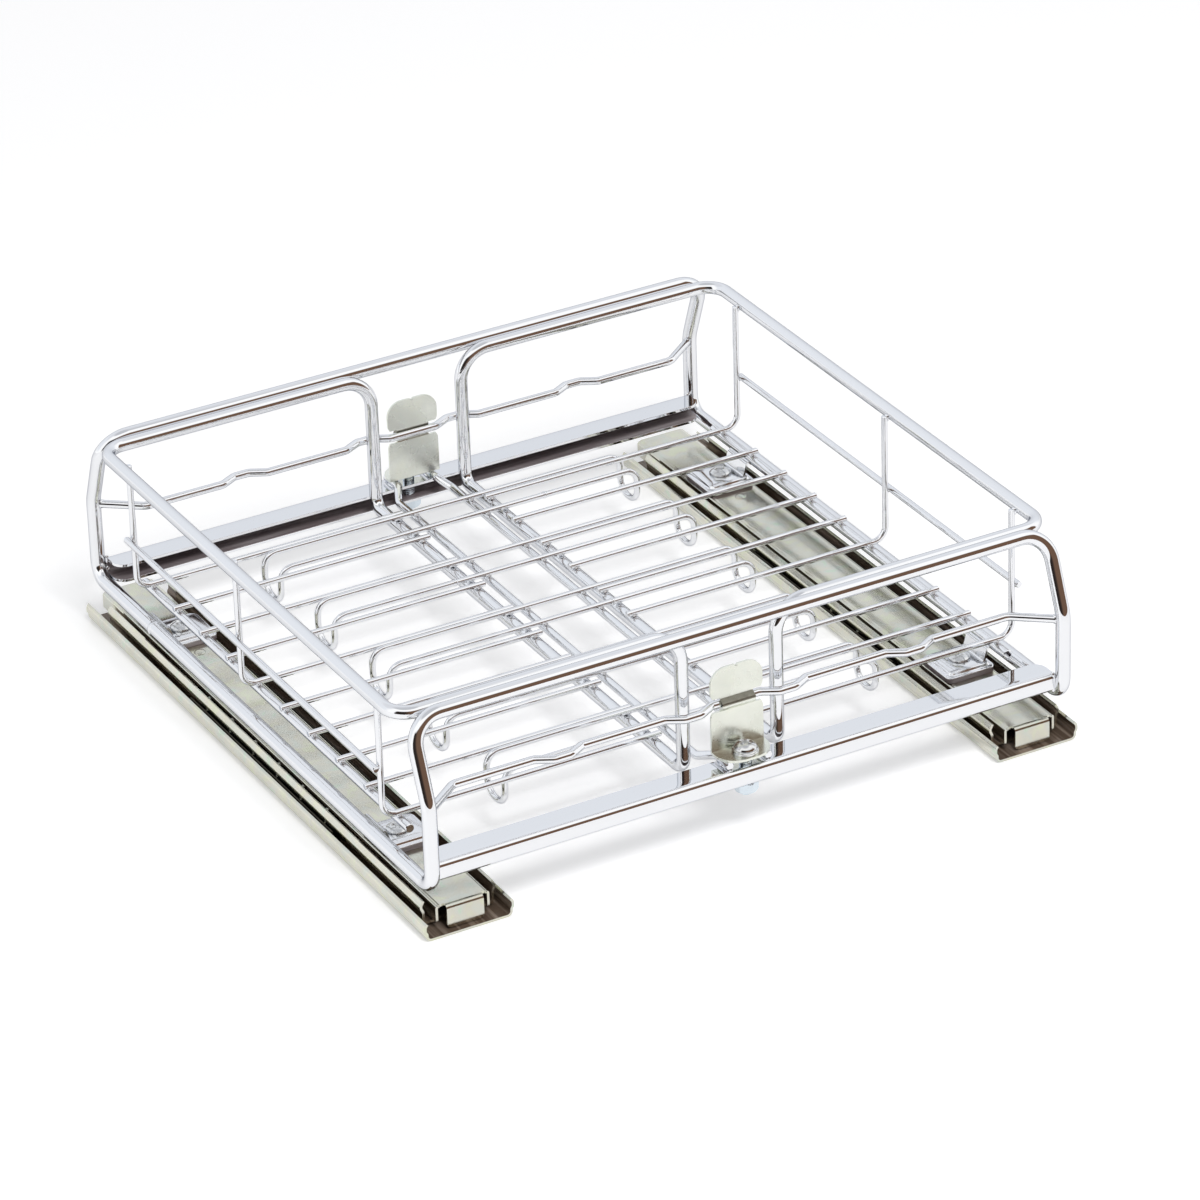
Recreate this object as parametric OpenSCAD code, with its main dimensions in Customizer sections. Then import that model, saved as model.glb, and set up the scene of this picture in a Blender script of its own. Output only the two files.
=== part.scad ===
// Pull-out cabinet basket: a chromed wire basket in two halves that slide apart
// sideways, on a rod frame that rides two flat ball slides out of the cabinet.
// X runs along the front, Y to the back, Z up. The origin is the middle of the
// footprint, on the cabinet floor.

/* [Frame] */
// Width between the centres of the left and right hoop legs
frame_w = 328; // [310:1:360]
// Depth between the centres of the front and back hoop legs
frame_d = 344; // [330:1:352]
// Diameter of the hoop and side rods
rod_d = 7; // [6:0.5:8]
// Height of the top of the hoops, at the rod's centre
hoop_h = 103; // [95:1:125]
// How far the top of a hoop leans inwards
hoop_lean = 14.5; // [12:0.5:16]
// Height at which the hoop legs start to lean
kink_h = 65.5; // [60:0.5:72]
// Height of the side rods, at their centre
side_h = 24; // [22:0.5:26]
// Bend radius of the hoops' upper corners
hoop_corner_r = 14; // [10:1:20]
// Bend radius where a leg turns into a side rod
hoop_foot_r = 9; // [7:1:12]
// Bend radius where a leg starts to lean
hoop_kink_r = 20; // [10:1:25]
// Distance from the back legs' centres to the butt joint between the two hoops
joint_in = 62; // [50:1:72]

/* [Front and back bars] */
// Depth of the channel bars' flanges
bar_w = 14; // [13:0.5:16]
// Height of the channel bars
bar_h = 9.5; // [9:0.5:12]
// Sheet thickness of the channel bars
bar_t = 1.5; // [1:0.1:2]
// Height of the top face of the channel bars
bar_top = 35; // [34:0.5:37]
// How far the bars' outer face lies inside the leg centres
bar_set = 1.5; // [1:0.1:2]
// Corner radius of the bars' flange ends
bar_end_r = 6.5; // [4:0.5:8]

/* [Basket halves] */
// Diameter of the rail loop's rod
rail_d = 6.4; // [6:0.1:7]
// Height of the rail, at its centre
rail_h = 102; // [94:1:120]
// How far the side rails lie outside the leg centres
rail_out = 3.4; // [2.6:0.1:4.5]
// Distance from the middle to each half's posts
post_x = 24.5; // [23:0.5:27]
// Bend radius between post and rail
post_top_r = 15; // [10:1:20]
// Bend radius between post and bottom bar
post_foot_r = 6.5; // [6:0.5:9]
// Plan radius of the rail's outer corners
rail_corner_r = 11; // [9:1:20]
// Diameter of the floor wires
wire_d = 3; // [2.6:0.1:3.2]
// Distance from the posts' centres to the outermost floor wires' middle line
wires_in = 24.05; // [22:0.05:28]
// Number of floor wires in each half
wires = 10; // [10:2:10]
// Diameter of the low side wire
low_wire_d = 4.4; // [3.6:0.2:5]
// How far the low side wire lies inside the leg centres
low_wire_in = 9.5; // [8:0.5:12]
// Diameter of the mid side wire
mid_wire_d = 3.2; // [2.6:0.1:4]
// Height of the mid side wire, at its centre
mid_wire_h = 62.4; // [50:0.2:80]
// How far the low side wire stands past the outer floor wires
low_wire_over = 10; // [6:0.5:14]
// How far the mid side wire stands past the outer uprights
mid_wire_over = 2; // [2:0.5:6]
// Length of the floor wires' stubs past the wire or bar under them
stub_l = 3; // [2:0.5:4]
// Bend radius where a floor wire turns up
upright_r = 7; // [5:0.5:8]

/* [Floor rings] */
// Number of floor rings
rings = 5; // [5:1:5]
// Length of a ring between the centres of its dipped ends
ring_l = 195; // [185:1:200]
// Width of a ring between the centres of its sides
ring_w = 17.3; // [15:0.1:19]
// How far the ring's ends dip below its top
ring_dip = 18.9; // [16:0.1:20]
// Bend radius at the top of the dips
ring_r = 6.5; // [5:0.5:7]
// Length of the short straight at the bottom of a dip
ring_flat = 1.2; // [0.8:0.2:3]

/* [Floor runners] */
// Diameter of the runners
runner_d = 4; // [3.4:0.1:4.4]
// Distance from the middle to each runner
runner_x = 15; // [14:0.5:17]
// Distance from the middle to the runners' ends
runner_end_x = 10; // [8:0.5:11]
// How far the runners drop below their ends
runner_drop = 3.6; // [3:0.1:4]

/* [Wave wires] */
// Diameter of the wave wires
wave_d = 4; // [3.4:0.1:4.4]
// How far the wave wires lie below the hoops' kink
wave_below = 2; // [1:0.5:5]
// Outward depth of the bulges that hold the posts
bulge = 4.5; // [3:0.5:5.5]
// Bend radius at the foot and top of the bulges
bulge_r = 4; // [3:1:8]
// Bend radius where the wave wires turn out to the legs
wave_end_r = 6; // [4:1:15]

/* [Clips] */
// Width of the clip plates
clip_w = 27; // [24:0.5:30]
// Height of the clip plate above the wave wire
clip_up = 18.5; // [14:0.5:24]
// Sheet thickness of the clips
clip_t = 1.2; // [1:0.1:1.6]
// Width of the strap that is pressed out over the wave wire
strap_w = 17; // [14:0.5:19]
// Thread diameter of the clip bolts
bolt_d = 6; // [5:0.5:6]
// Head diameter of the clip bolts
bolt_head_d = 11.4; // [10:0.2:11.6]
// Distance from the bar's outer face to the bolt
bolt_in = 6.8; // [6.6:0.1:7]

/* [Slides] */
// Length of the outer rails
slide_l = 350; // [344:1:380]
// Distance from the leg centres to the middle of each slide
slide_in = 16; // [15:0.5:18]
// Width of the outer rails
slide_w = 45; // [44:0.5:46]
// Height of a slide
slide_h = 13.2; // [12.6:0.1:13.6]
// Height of the outer rails before their lips are cut back
outer_h = 10; // [9.6:0.1:10.4]
// Sheet thickness of the rails
rail_t = 1.2; // [1:0.1:1.3]
// Diameter of the balls
ball_d = 3; // [2.8:0.1:3.2]
// How far the middle rails' walls stand above the inner rails
mid_over = 1; // [0.5:0.1:1.5]
// How far the middle rails' walls bulge outwards above the balls
mid_bulge = 0.9; // [0.6:0.1:1]
// How far the slides pull out
travel = 330; // [280:1:330]
// Diameter of the screw holes in the outer rails
hole_d = 4.5; // [4:0.1:5]
// Distance from the middle to the screw holes, front and back
hole_y = 150; // [145:1:152]

/* [Brackets] */
// Distance from the inner rails' front ends to the front bracket screws
bracket_front_in = 62.8; // [55:0.1:66]
// Distance from the inner rails' back ends to the back bracket screws
bracket_back_in = 60; // [50:1:66]
// Length of the bracket feet
bracket_l = 26; // [22:1:30]
// Height of the bracket feet above the slide
bracket_h = 4.3; // [3.5:0.1:5]
// Sheet thickness of the brackets
bracket_t = 1.2; // [1:0.1:1.5]
// Thread diameter of the bracket screws
screw_d = 4; // [3.5:0.1:4.5]
// Head diameter of the bracket screws
screw_head_d = 11; // [9:0.2:11.4]
// Length of the bracket screws under the head
screw_l = 8; // [7:0.5:9]

/* [Clearances] */
// Gap between pieces that slide past each other
run_gap = 0.3; // [0.25:0.05:0.4]
// Gap beside a ball
ball_gap = 0.15; // [0.1:0.05:0.2]
// How deep a weld sinks one rod into the next
weld = 0.1; // [0.05:0.05:0.2]
// How deep a bracket's straight edge sinks into the side rod
plate_weld = 0.02; // [0.01:0.01:0.05]

/* [Hidden] */
$fn = 48;

rod_r = rod_d / 2;
rail_r = rail_d / 2;
wire_r = wire_d / 2;

leg_x = frame_w / 2;
leg_y = frame_d / 2;
top_y = leg_y - hoop_lean;
bar_y = leg_y - bar_set;
bar_in_y = bar_y - bar_w;
bar_x = leg_x - sqrt(rod_r * rod_r - bar_set * bar_set) + weld;
joint_y = leg_y - joint_in;

on_bar_z = bar_top + runner_d / 2;
runner_z = on_bar_z - runner_drop;
ring_z = runner_z + runner_d / 2 + wire_r - weld;
ring_half = ring_l / 2;
dip_r = (ring_w - ring_flat) / 2;
thick_z = ring_z - wire_r - run_gap - rail_r;
floor_z = thick_z + rail_r + wire_r - weld;

rail_x = leg_x + rail_out;
post_y = top_y - rod_r - rail_r - run_gap;
upright_x = rail_x - rail_r - wire_r + weld;
low_x = leg_x - low_wire_in;
low_z = floor_z - wire_r - low_wire_d / 2 + weld;
mid_x = upright_x + wire_r + mid_wire_d / 2 - weld;
wire_shift = wire_d + run_gap + 0.1;
first_y = post_y - wires_in;
pitch = 2 * first_y / (wires - 1);
inner_end = post_x - rail_r - 0.5;

// The halves slide out until their bottom bars meet the dips of the rings
half_travel = ring_half - max(ring_r, wire_r + run_gap + rail_r) - post_x;

wave_z = kink_h - wave_below;
wave_r = wave_d / 2;
wave_y = post_y + rail_r + run_gap + wave_r;
wave_end_l = 20;
wave_start_x = leg_x - wave_end_l;
bulge_foot = 12;
bulge_flat = 4;

clip_y = wave_y + clip_t / 2;
clip_z = bar_top + runner_d;
strap_jog = wave_r + run_gap / 2 + clip_t / 2;
slot_h = wave_d + 3;
bolt_y = bar_y - bolt_in;
washer_t = 1;
washer_d = bolt_head_d + 0.2;
nut_h = 5;
nut_flats = 10;
bolt_z = clip_z + clip_t + washer_t;
bolt_end_z = bar_top - bar_h - nut_h - 2;

slide_x = leg_x - slide_in;
slide_half = slide_w / 2;
ball_lane = ball_d + 2 * ball_gap;
mid_half = slide_half - rail_t - ball_lane;
in_half = mid_half - rail_t - ball_lane;
cage_t = 0.6;
outer_cage_z = rail_t + run_gap;
mid_z = outer_cage_z + cage_t + run_gap;
mid_top = slide_h + mid_over;
inner_cage_z = mid_z + rail_t + run_gap;
in_foot_z = inner_cage_z + cage_t + 0.4;
outer_curl_r = 3;
outer_ball_z = outer_h - rail_t / 2 - outer_curl_r;
inner_ball_z = 8.2;
slide_y0 = -leg_y - rod_r + 1;
slide_y1 = slide_y0 + slide_l;
mid_front_in = 10.5;
mid_back_in = 17.5;
in_front_in = 4.5;
mid_y0 = slide_y0 + mid_front_in;
mid_y1 = slide_y1 - mid_back_in;
in_y0 = slide_y0 + in_front_in;
tab_w = 18.5;
tab_end_z = 1.6;
cage_l = 146;
cage_rim = 10;
balls_a_side = 6;
outer_cage_y = -80;
inner_cage_y = -73;

bracket_y0 = in_y0 + bracket_front_in;
bracket_y1 = slide_y1 - bracket_back_in;
foot_top = slide_h + bracket_h;
foot_x0 = slide_x - in_half;
foot_x1 = leg_x - rod_r + plate_weld;
flange_slope = 2.7;
flange_flat = 2.8;
flange_lap = 2;

// ---- Bent rod ----

// A bend and the straight beside it stop this short of each other, inside a bead
// that is thicker than the rod by twice the skin, so that the two are one solid
stop_short = 0.2;
skin = 0.05;

function unit(v) = v / norm(v);
function turn_at(a, b, c) = acos(unit(b - a) * unit(c - b));
function setback(a, b, c, r) = r * tan(turn_at(a, b, c) / 2);
function around(p, i) = p[(i + len(p)) % len(p)];
function cut_at(p, r, i, closed) =
    !closed && (i == 0 || i == len(p) - 1) ? 0
    : setback(around(p, i - 1), p[i], around(p, i + 1), r[i]) + stop_short;
function frame_of(x, y, z, o) =
    [[x.x, y.x, z.x, o.x], [x.y, y.y, z.y, o.y], [x.z, y.z, z.z, o.z], [0, 0, 0, 1]];

// Round bar from a to b, stopping short of each end by the lengths cut
module straight(a, b, d, cut = [0, 0]) {
    k = unit(b - a);
    length = norm(b - a) - cut[0] - cut[1];
    side = unit(cross(abs(k.z) < 0.9 ? [0, 0, 1] : [1, 0, 0], k));
    if (length > 0.01)
        multmatrix(frame_of(side, cross(k, side), k, a + k * cut[0]))
            cylinder(d = d, h = length);
}

// Round bar bent to radius r at the corner b of the path a, b, c, with a bead at
// each end
module bend(a, b, c, r, d) {
    u = unit(b - a);
    v = unit(c - b);
    n = unit(v - (u * v) * u);
    turn = turn_at(a, b, c);
    skipped = stop_short / r * 180 / PI;
    multmatrix(frame_of(-n, u, cross(u, n), b - u * setback(a, b, c, r) + n * r)) {
        rotate([0, 0, skipped])
            rotate_extrude(angle = turn - 2 * skipped)
                translate([r, 0]) circle(d = d);
        for (at = [0, turn])
            rotate([0, 0, at])
                translate([r, 0, 0]) rotate([90, 0, 0]) sphere(d = d + 2 * skin);
    }
}

// Rod along the points p, with bend radius r[i] at point i
module rod(p, r, d, closed = false) {
    n = len(p);
    for (i = [0 : closed ? n - 1 : n - 2]) {
        j = (i + 1) % n;
        straight(p[i], p[j], d, [cut_at(p, r, i, closed), cut_at(p, r, j, closed)]);
    }
    for (i = [closed ? 0 : 1 : closed ? n - 1 : n - 2])
        bend(around(p, i - 1), p[i], around(p, i + 1), r[i], d);
}

// ---- Bent sheet ----

// Points on an arc about c, from angle a0 to a1
function arc(c, r, a0, a1, n = 8) =
    [for (i = [0 : n]) let (a = a0 + (a1 - a0) * i / n) c + r * [cos(a), sin(a)]];

// Offset of point i of the open path p to its left by d, mitred
function offset_at(p, i, d) =
    let (a = unit(p[min(i + 1, len(p) - 1)] - p[min(i, len(p) - 2)]),
         b = unit(p[max(i, 1)] - p[max(i - 1, 0)]),
         m = unit(a + b))
    p[i] + d / (m * a) * [-m.y, m.x];

// Outline of a sheet of thickness t whose middle follows p
function sheet(p, t) =
    concat([for (i = [0 : len(p) - 1]) offset_at(p, i, t / 2)],
           [for (i = [len(p) - 1 : -1 : 0]) offset_at(p, i, -t / 2)]);

function flip(p) = [for (i = [len(p) - 1 : -1 : 0]) [-p[i].x, p[i].y]];

// A section drawn in X and Z, extruded along Y from y0 to y1
module along_y(y0, y1) {
    translate([0, y1, 0]) rotate([90, 0, 0]) linear_extrude(y1 - y0) children();
}

// A section drawn in Y and Z, extruded along X, centred
module along_x(w) {
    translate([-w / 2, 0, 0])
        multmatrix([[0, 0, 1, 0], [1, 0, 0, 0], [0, 1, 0, 0], [0, 0, 0, 1]])
            linear_extrude(w) children();
}

// ---- Slides ----

// Half of the outer rail's section, from its curled lip to the middle of its web
function outer_half() =
    let (x = slide_half - rail_t / 2 - outer_curl_r, r = outer_curl_r)
    concat(arc([x, outer_ball_z], r, 50, 0), arc([x, rail_t / 2 + r], r, 0, -90));

// Half of the middle rail's section; its wall bulges outwards above the balls
function middle_half() =
    let (x = mid_half - rail_t / 2, r = 1.5, z = mid_z + rail_t / 2)
    concat([[x - 0.3, mid_top], [x + mid_bulge, mid_top - 2.2], [x + mid_bulge, mid_top - 3.4],
            [x, mid_top - 5.4]], arc([x - r, z + r], r, 0, -90));

// Half of the inner rail's section, from its foot to the middle of its web
function inner_half() =
    let (x = in_half - rail_t / 2, r = 1.2, z = slide_h - rail_t / 2)
    concat([[x, in_foot_z]], arc([x - r, z - r], r, 0, 90));

module section(half, t) {
    polygon(sheet(concat(half, flip(half)), t));
}

module hole_down(x, y, d) {
    translate([x, y, -1]) cylinder(d = d, h = slide_h + 2);
}

module outer_rail(x) {
    color("#c9c6bd")
    difference() {
        translate([x, 0, 0]) along_y(slide_y0, slide_y1) section(outer_half(), rail_t);
        hole_down(x, -hole_y, hole_d);
        hole_down(x, hole_y, hole_d);
    }
}

module middle_rail(x) {
    color("#c2bfb6")
    difference() {
        translate([x, 0, 0]) along_y(mid_y0, mid_y1) section(middle_half(), rail_t);
        hole_down(x, travel / 2 - hole_y, 2 * hole_d);
    }
}

function bracket_at(s) = s < 0 ? bracket_y0 : bracket_y1;

module inner_rail(x) {
    color("#cfccc3")
    difference() {
        union() {
            translate([x, 0, 0]) along_y(in_y0, slide_y1) section(inner_half(), rail_t);
            translate([x - tab_w / 2, in_y0 - rail_t, tab_end_z])
                cube([tab_w, rail_t, slide_h - tab_end_z]);
        }
        hole_down(x, bracket_at(-1), screw_d + 0.2);
        hole_down(x, bracket_at(1), screw_d + 0.2);
    }
}

function ball_y(y0, i) = y0 + cage_l / balls_a_side * (i + 0.5);

// Ball cage: a tray with a row of pockets up each side
module cage(x, y0, half, z, ball_z) {
    r = 1.2;
    mid = half - cage_t / 2;
    path = concat([[mid, ball_z + ball_d / 2 + 0.8]],
                  arc([mid - r, z + cage_t / 2 + r], r, 0, -90));
    translate([x, 0, 0])
    difference() {
        along_y(y0, y0 + cage_l) section(path, cage_t);
        translate([-half / 2, y0 + cage_rim, 0])
            cube([half, cage_l - 2 * cage_rim, inner_ball_z]);
        for (i = [0 : balls_a_side - 1])
            translate([-slide_half, ball_y(y0, i), ball_z])
                rotate([0, 90, 0]) cylinder(d = ball_d + 2 * ball_gap, h = slide_w);
    }
}

module balls(x, y0, half, ball_z) {
    for (s = [-1, 1], i = [0 : balls_a_side - 1])
        translate([x + s * (half - cage_t / 2), ball_y(y0, i), ball_z]) sphere(d = ball_d);
}

outer_lane = slide_half - rail_t - ball_lane / 2 + cage_t / 2;
inner_lane = mid_half - rail_t - ball_lane / 2 + cage_t / 2;

module outer_ball_cages() {
    color("#55534e") for (s = [-1, 1])
        cage(s * slide_x, outer_cage_y, outer_lane, outer_cage_z, outer_ball_z);
}

module outer_balls() {
    color("#d5d5d5") for (s = [-1, 1])
        balls(s * slide_x, outer_cage_y, outer_lane, outer_ball_z);
}

module inner_ball_cages() {
    color("#55534e") for (s = [-1, 1])
        cage(s * slide_x, inner_cage_y, inner_lane, inner_cage_z, inner_ball_z);
}

module inner_balls() {
    color("#d5d5d5") for (s = [-1, 1])
        balls(s * slide_x, inner_cage_y, inner_lane, inner_ball_z);
}

// ---- Frame ----

// One hoop with its two side rods, up to the butt joint; s is -1 front, 1 back
module hoop(s) {
    half = [[leg_x, joint_y, side_h], [leg_x, s * leg_y, side_h], [leg_x, s * leg_y, kink_h],
            [leg_x, s * top_y, hoop_h]];
    other = [for (i = [3 : -1 : 0]) [-half[i].x, half[i].y, half[i].z]];
    r = [0, hoop_foot_r, hoop_kink_r, hoop_corner_r];
    color("#d9dde2") rod(concat(half, other), concat(r, [r[3], r[2], r[1], 0]), rod_d);
}

// Channel bar between the legs, open to the inside, with round flange ends
module bar(s) {
    r = 2;
    t2 = bar_t / 2;
    top = arc([bar_y - t2 - r, bar_top - t2 - r], r, 90, 0);
    low = arc([bar_y - t2 - r, bar_top - bar_h + t2 + r], r, 0, -90);
    path = concat([[bar_in_y, bar_top - t2]], top, low, [[bar_in_y, bar_top - bar_h + t2]]);
    color("#dfe2e6")
    mirror([0, s < 0 ? 1 : 0, 0])
    difference() {
        intersection() {
            along_x(2 * bar_x) polygon(sheet(path, bar_t));
            translate([0, 0, bar_top - bar_h - 1]) linear_extrude(bar_h + 2) {
                translate([-bar_x, bar_in_y + bar_end_r]) square([2 * bar_x, bar_w]);
                translate([-bar_x + bar_end_r, bar_in_y - 1])
                    square([2 * (bar_x - bar_end_r), bar_w + 2]);
                for (x = [-1, 1])
                    translate([x * (bar_x - bar_end_r), bar_in_y + bar_end_r])
                        circle(r = bar_end_r);
            }
        }
        translate([0, bolt_y, 0]) cylinder(d = bolt_d + 0.4, h = bar_top + 1);
    }
}

// Wire across the hoop's legs, bulged outwards where the posts come to rest
module wave_wire(s) {
    stops = [-post_x - half_travel, -post_x, post_x, post_x + half_travel];
    start = [wave_start_x, s * wave_y, wave_z];
    leg = [leg_x, s * leg_y, wave_z];
    tip = leg - (rod_r - weld) * unit(leg - start);
    bumps = [for (x = stops) for (q = [[-bulge_foot, 0], [-bulge_flat, bulge], [bulge_flat, bulge],
                                       [bulge_foot, 0]])
             [x + q.x, s * (wave_y + q.y), wave_z]];
    path = concat([[-tip.x, tip.y, tip.z], [-start.x, start.y, start.z]], bumps, [start, tip]);
    r = concat([0, wave_end_r], [for (q = bumps) bulge_r], [wave_end_r, 0]);
    color("#d9dde2") rod(path, r, wave_d);
}

// Runner under the rings; its ends rise onto the bars' top flanges
module floor_runner(s) {
    end_y = bar_y - 3;
    up_y = bar_in_y - 1.5;
    low_y = up_y - 10;
    x0 = s * runner_end_x;
    x1 = s * runner_x;
    path = [[x0, -end_y, on_bar_z], [x0, -up_y, on_bar_z], [x1, -low_y, runner_z],
            [x1, low_y, runner_z], [x0, up_y, on_bar_z], [x0, end_y, on_bar_z]];
    color("#d9dde2") rod(path, [0, 6, 6, 6, 6, 0], runner_d);
}

// Long narrow loop whose ends dip and stop the halves; i counts from the back
module floor_ring(i) {
    y = first_y - (i - 1) * 2 * pitch;
    z0 = ring_z - ring_dip;
    end = [[ring_half, y, ring_z], [ring_half, y, z0],
           [ring_half, y - ring_w, z0], [ring_half, y - ring_w, ring_z]];
    other = [for (k = [3 : -1 : 0]) [-end[k].x, end[k].y, end[k].z]];
    r = [ring_r, dip_r, dip_r, ring_r];
    color("#dcdfe3") rod(concat(end, other), concat(r, r), wire_d, closed = true);
}

// Pressed bracket: a foot screwed to the inner rail, and a flange that steps up to
// the side rod and is welded edge-on to it
module bracket(sx, sy) {
    w = foot_x1 - foot_x0;
    r = 3;
    pad_z = foot_top - bracket_t / 2;
    flange = [[foot_x1 - flange_flat - flange_slope - flange_lap, pad_z],
              [foot_x1 - flange_flat - flange_slope, pad_z],
              [foot_x1 - flange_flat, side_h], [foot_x1, side_h]];
    module outline(o) {
        translate([foot_x0 + o, -bracket_l / 2 + r]) square([w - 2 * o, bracket_l - 2 * r]);
        translate([foot_x0 + r, -bracket_l / 2 + o]) square([w - 2 * r, bracket_l - 2 * o]);
        for (x = [foot_x0 + r, foot_x1 - r], y = [-1, 1])
            translate([x, y * (bracket_l / 2 - r)]) circle(r = r - o);
    }
    color("#d9dde2")
    mirror([sx < 0 ? 1 : 0, 0, 0]) translate([0, bracket_at(sy), 0])
    difference() {
        union() {
            translate([0, 0, slide_h]) linear_extrude(bracket_h) outline(0);
            along_y(-bracket_l / 2 + r, bracket_l / 2 - r) polygon(sheet(flange, bracket_t));
        }
        translate([0, 0, slide_h - 1]) linear_extrude(bracket_h - bracket_t + 1) outline(bracket_t);
        translate([slide_x, 0, slide_h]) cylinder(d = screw_d + 0.4, h = bracket_h + 1);
    }
}

// Pan-head screw with a cross recess, head down on z, shank down to z_end
module pan_screw(x, y, z, head_d, head_h, d, z_end) {
    top_r = head_h;
    slot = head_d * 0.48;
    blade = head_d * 0.11;
    translate([x, y, 0])
    difference() {
        union() {
            translate([0, 0, z_end]) cylinder(d = d, h = z - z_end + 0.01);
            rotate_extrude()
                polygon(concat([[0, z], [head_d / 2, z], [head_d / 2, z + head_h * 0.35]],
                               [for (a = [20 : 20 : 80])
                                [head_d / 2 - top_r * 0.65 * (1 - cos(a)),
                                 z + head_h * (0.35 + 0.65 * sin(a))]],
                               [[0, z + head_h]]));
        }
        for (a = [0, 90])
            translate([0, 0, z + head_h]) rotate([0, 0, a + 20])
                cube([slot, blade, head_h], center = true);
    }
}

module bracket_screws() {
    color("#cdd2d8") for (sx = [-1, 1], sy = [-1, 1])
        pan_screw(sx * slide_x, bracket_at(sy), foot_top, screw_head_d, 2.6, screw_d,
                  foot_top - screw_l);
}

// ---- Clips ----

// Plate clip: foot under the bolt, plate up past the wave wire, strap over it
module clip(s) {
    r = 1.2;
    t2 = clip_t / 2;
    foot = arc([clip_y + r, clip_z + t2 + r], r, 270, 180);
    slot_z0 = wave_z - slot_h / 2;
    slot_z1 = wave_z + slot_h / 2;
    top_z = wave_z + clip_up;
    lower = concat([[bar_y, clip_z + t2]], foot, [[clip_y, slot_z0]]);
    strap = [[clip_y, slot_z0 - 1], [clip_y, slot_z0 + 0.2],
             [clip_y + strap_jog, slot_z0 + 2], [clip_y + strap_jog, slot_z1 - 2],
             [clip_y, slot_z1 - 0.2], [clip_y, slot_z1 + 1]];
    foot_r = clip_w / 2 - 3;
    top_r = 8;
    color("#ccd0c4")
    mirror([0, s < 0 ? 1 : 0, 0])
    difference() {
        union() {
            intersection() {
                along_x(clip_w) polygon(sheet(lower, clip_t));
                linear_extrude(top_z) {
                    translate([-clip_w / 2, clip_y - clip_t])
                        square([clip_w, bar_y - foot_r - clip_y + clip_t]);
                    translate([-clip_w / 2 + foot_r, clip_y])
                        square([clip_w - 2 * foot_r, bar_y - clip_y]);
                    for (x = [-1, 1])
                        translate([x * (clip_w / 2 - foot_r), bar_y - foot_r]) circle(r = foot_r);
                }
            }
            along_x(strap_w) polygon(sheet(strap, clip_t));
            along_y(clip_y - t2, clip_y + t2) {
                translate([-clip_w / 2, slot_z1]) square([clip_w, top_z - top_r - slot_z1]);
                translate([-clip_w / 2 + top_r, slot_z1])
                    square([clip_w - 2 * top_r, top_z - slot_z1]);
                for (x = [-1, 1])
                    translate([x * (clip_w / 2 - top_r), top_z - top_r]) circle(r = top_r);
            }
        }
        translate([0, bolt_y, 0]) cylinder(d = bolt_d + 0.4, h = clip_z + 5);
        translate([-1, clip_y - 1, top_z - 0.8]) cube([2, 2, 2]);
    }
}

module clip_bolts() {
    color("#c9d2da") for (s = [-1, 1])
        pan_screw(0, s * bolt_y, bolt_z, bolt_head_d, 3.8, bolt_d, bolt_end_z);
}

module clip_washers() {
    color("#d3d6d8") for (s = [-1, 1])
        translate([0, s * bolt_y, clip_z + clip_t])
        difference() {
            cylinder(d = washer_d, h = washer_t);
            translate([0, 0, -1]) cylinder(d = bolt_d + 0.4, h = washer_t + 2);
        }
}

module clip_nuts() {
    color("#b9cbd6") for (s = [-1, 1])
        translate([0, s * bolt_y, bar_top - bar_h - nut_h])
        difference() {
            cylinder(d = nut_flats / cos(30), h = nut_h, $fn = 6);
            translate([0, 0, -1]) cylinder(d = bolt_d + 0.1, h = nut_h + 2);
        }
}

// ---- Basket halves: s is -1 left, 1 right ----

// Closed loop of rod: bottom bar, two posts and the rail round the side
module rail_loop(s) {
    back = [[-post_x, post_y, thick_z], [-post_x, post_y, rail_h], [-rail_x, post_y, rail_h]];
    path = concat(back, [for (i = [2 : -1 : 0]) [back[i].x, -back[i].y, back[i].z]]);
    r = [post_foot_r, post_top_r, rail_corner_r];
    color("#dde0e4")
        mirror([s > 0 ? 1 : 0, 0, 0]) rod(path, concat(r, [r[2], r[1], r[0]]), rail_d, closed = true);
}

// Place of floor wire i, counted from the back, beside the rings' back sides
function wire_y(s, i) = first_y - s * wire_shift - (i - 1) * pitch;
// The outermost wires and one near the middle turn up as uprights
function is_upright(s, i) = i == 1 || i == wires || i == (s < 0 ? wires / 2 : wires / 2 + 1);

module floor_wire(s, i) {
    y = wire_y(s, i);
    x0 = s * inner_end;
    path = is_upright(s, i)
        ? [[x0, y, floor_z], [s * upright_x, y, floor_z], [s * upright_x, y, rail_h]]
        : [[x0, y, floor_z], [s * (low_x + stub_l), y, floor_z]];
    color("#dcdfe3") rod(path, [0, upright_r, 0], wire_d);
}

module side_wire(s, x, z, d, over) {
    color("#dcdfe3")
        straight([s * x, wire_y(s, wires) - over, z], [s * x, wire_y(s, 1) + over, z], d);
}

module low_side_wire(s) {
    side_wire(s, low_x, low_z, low_wire_d, low_wire_over);
}

module mid_side_wire(s) {
    side_wire(s, mid_x, mid_wire_h, mid_wire_d, mid_wire_over);
}

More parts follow.
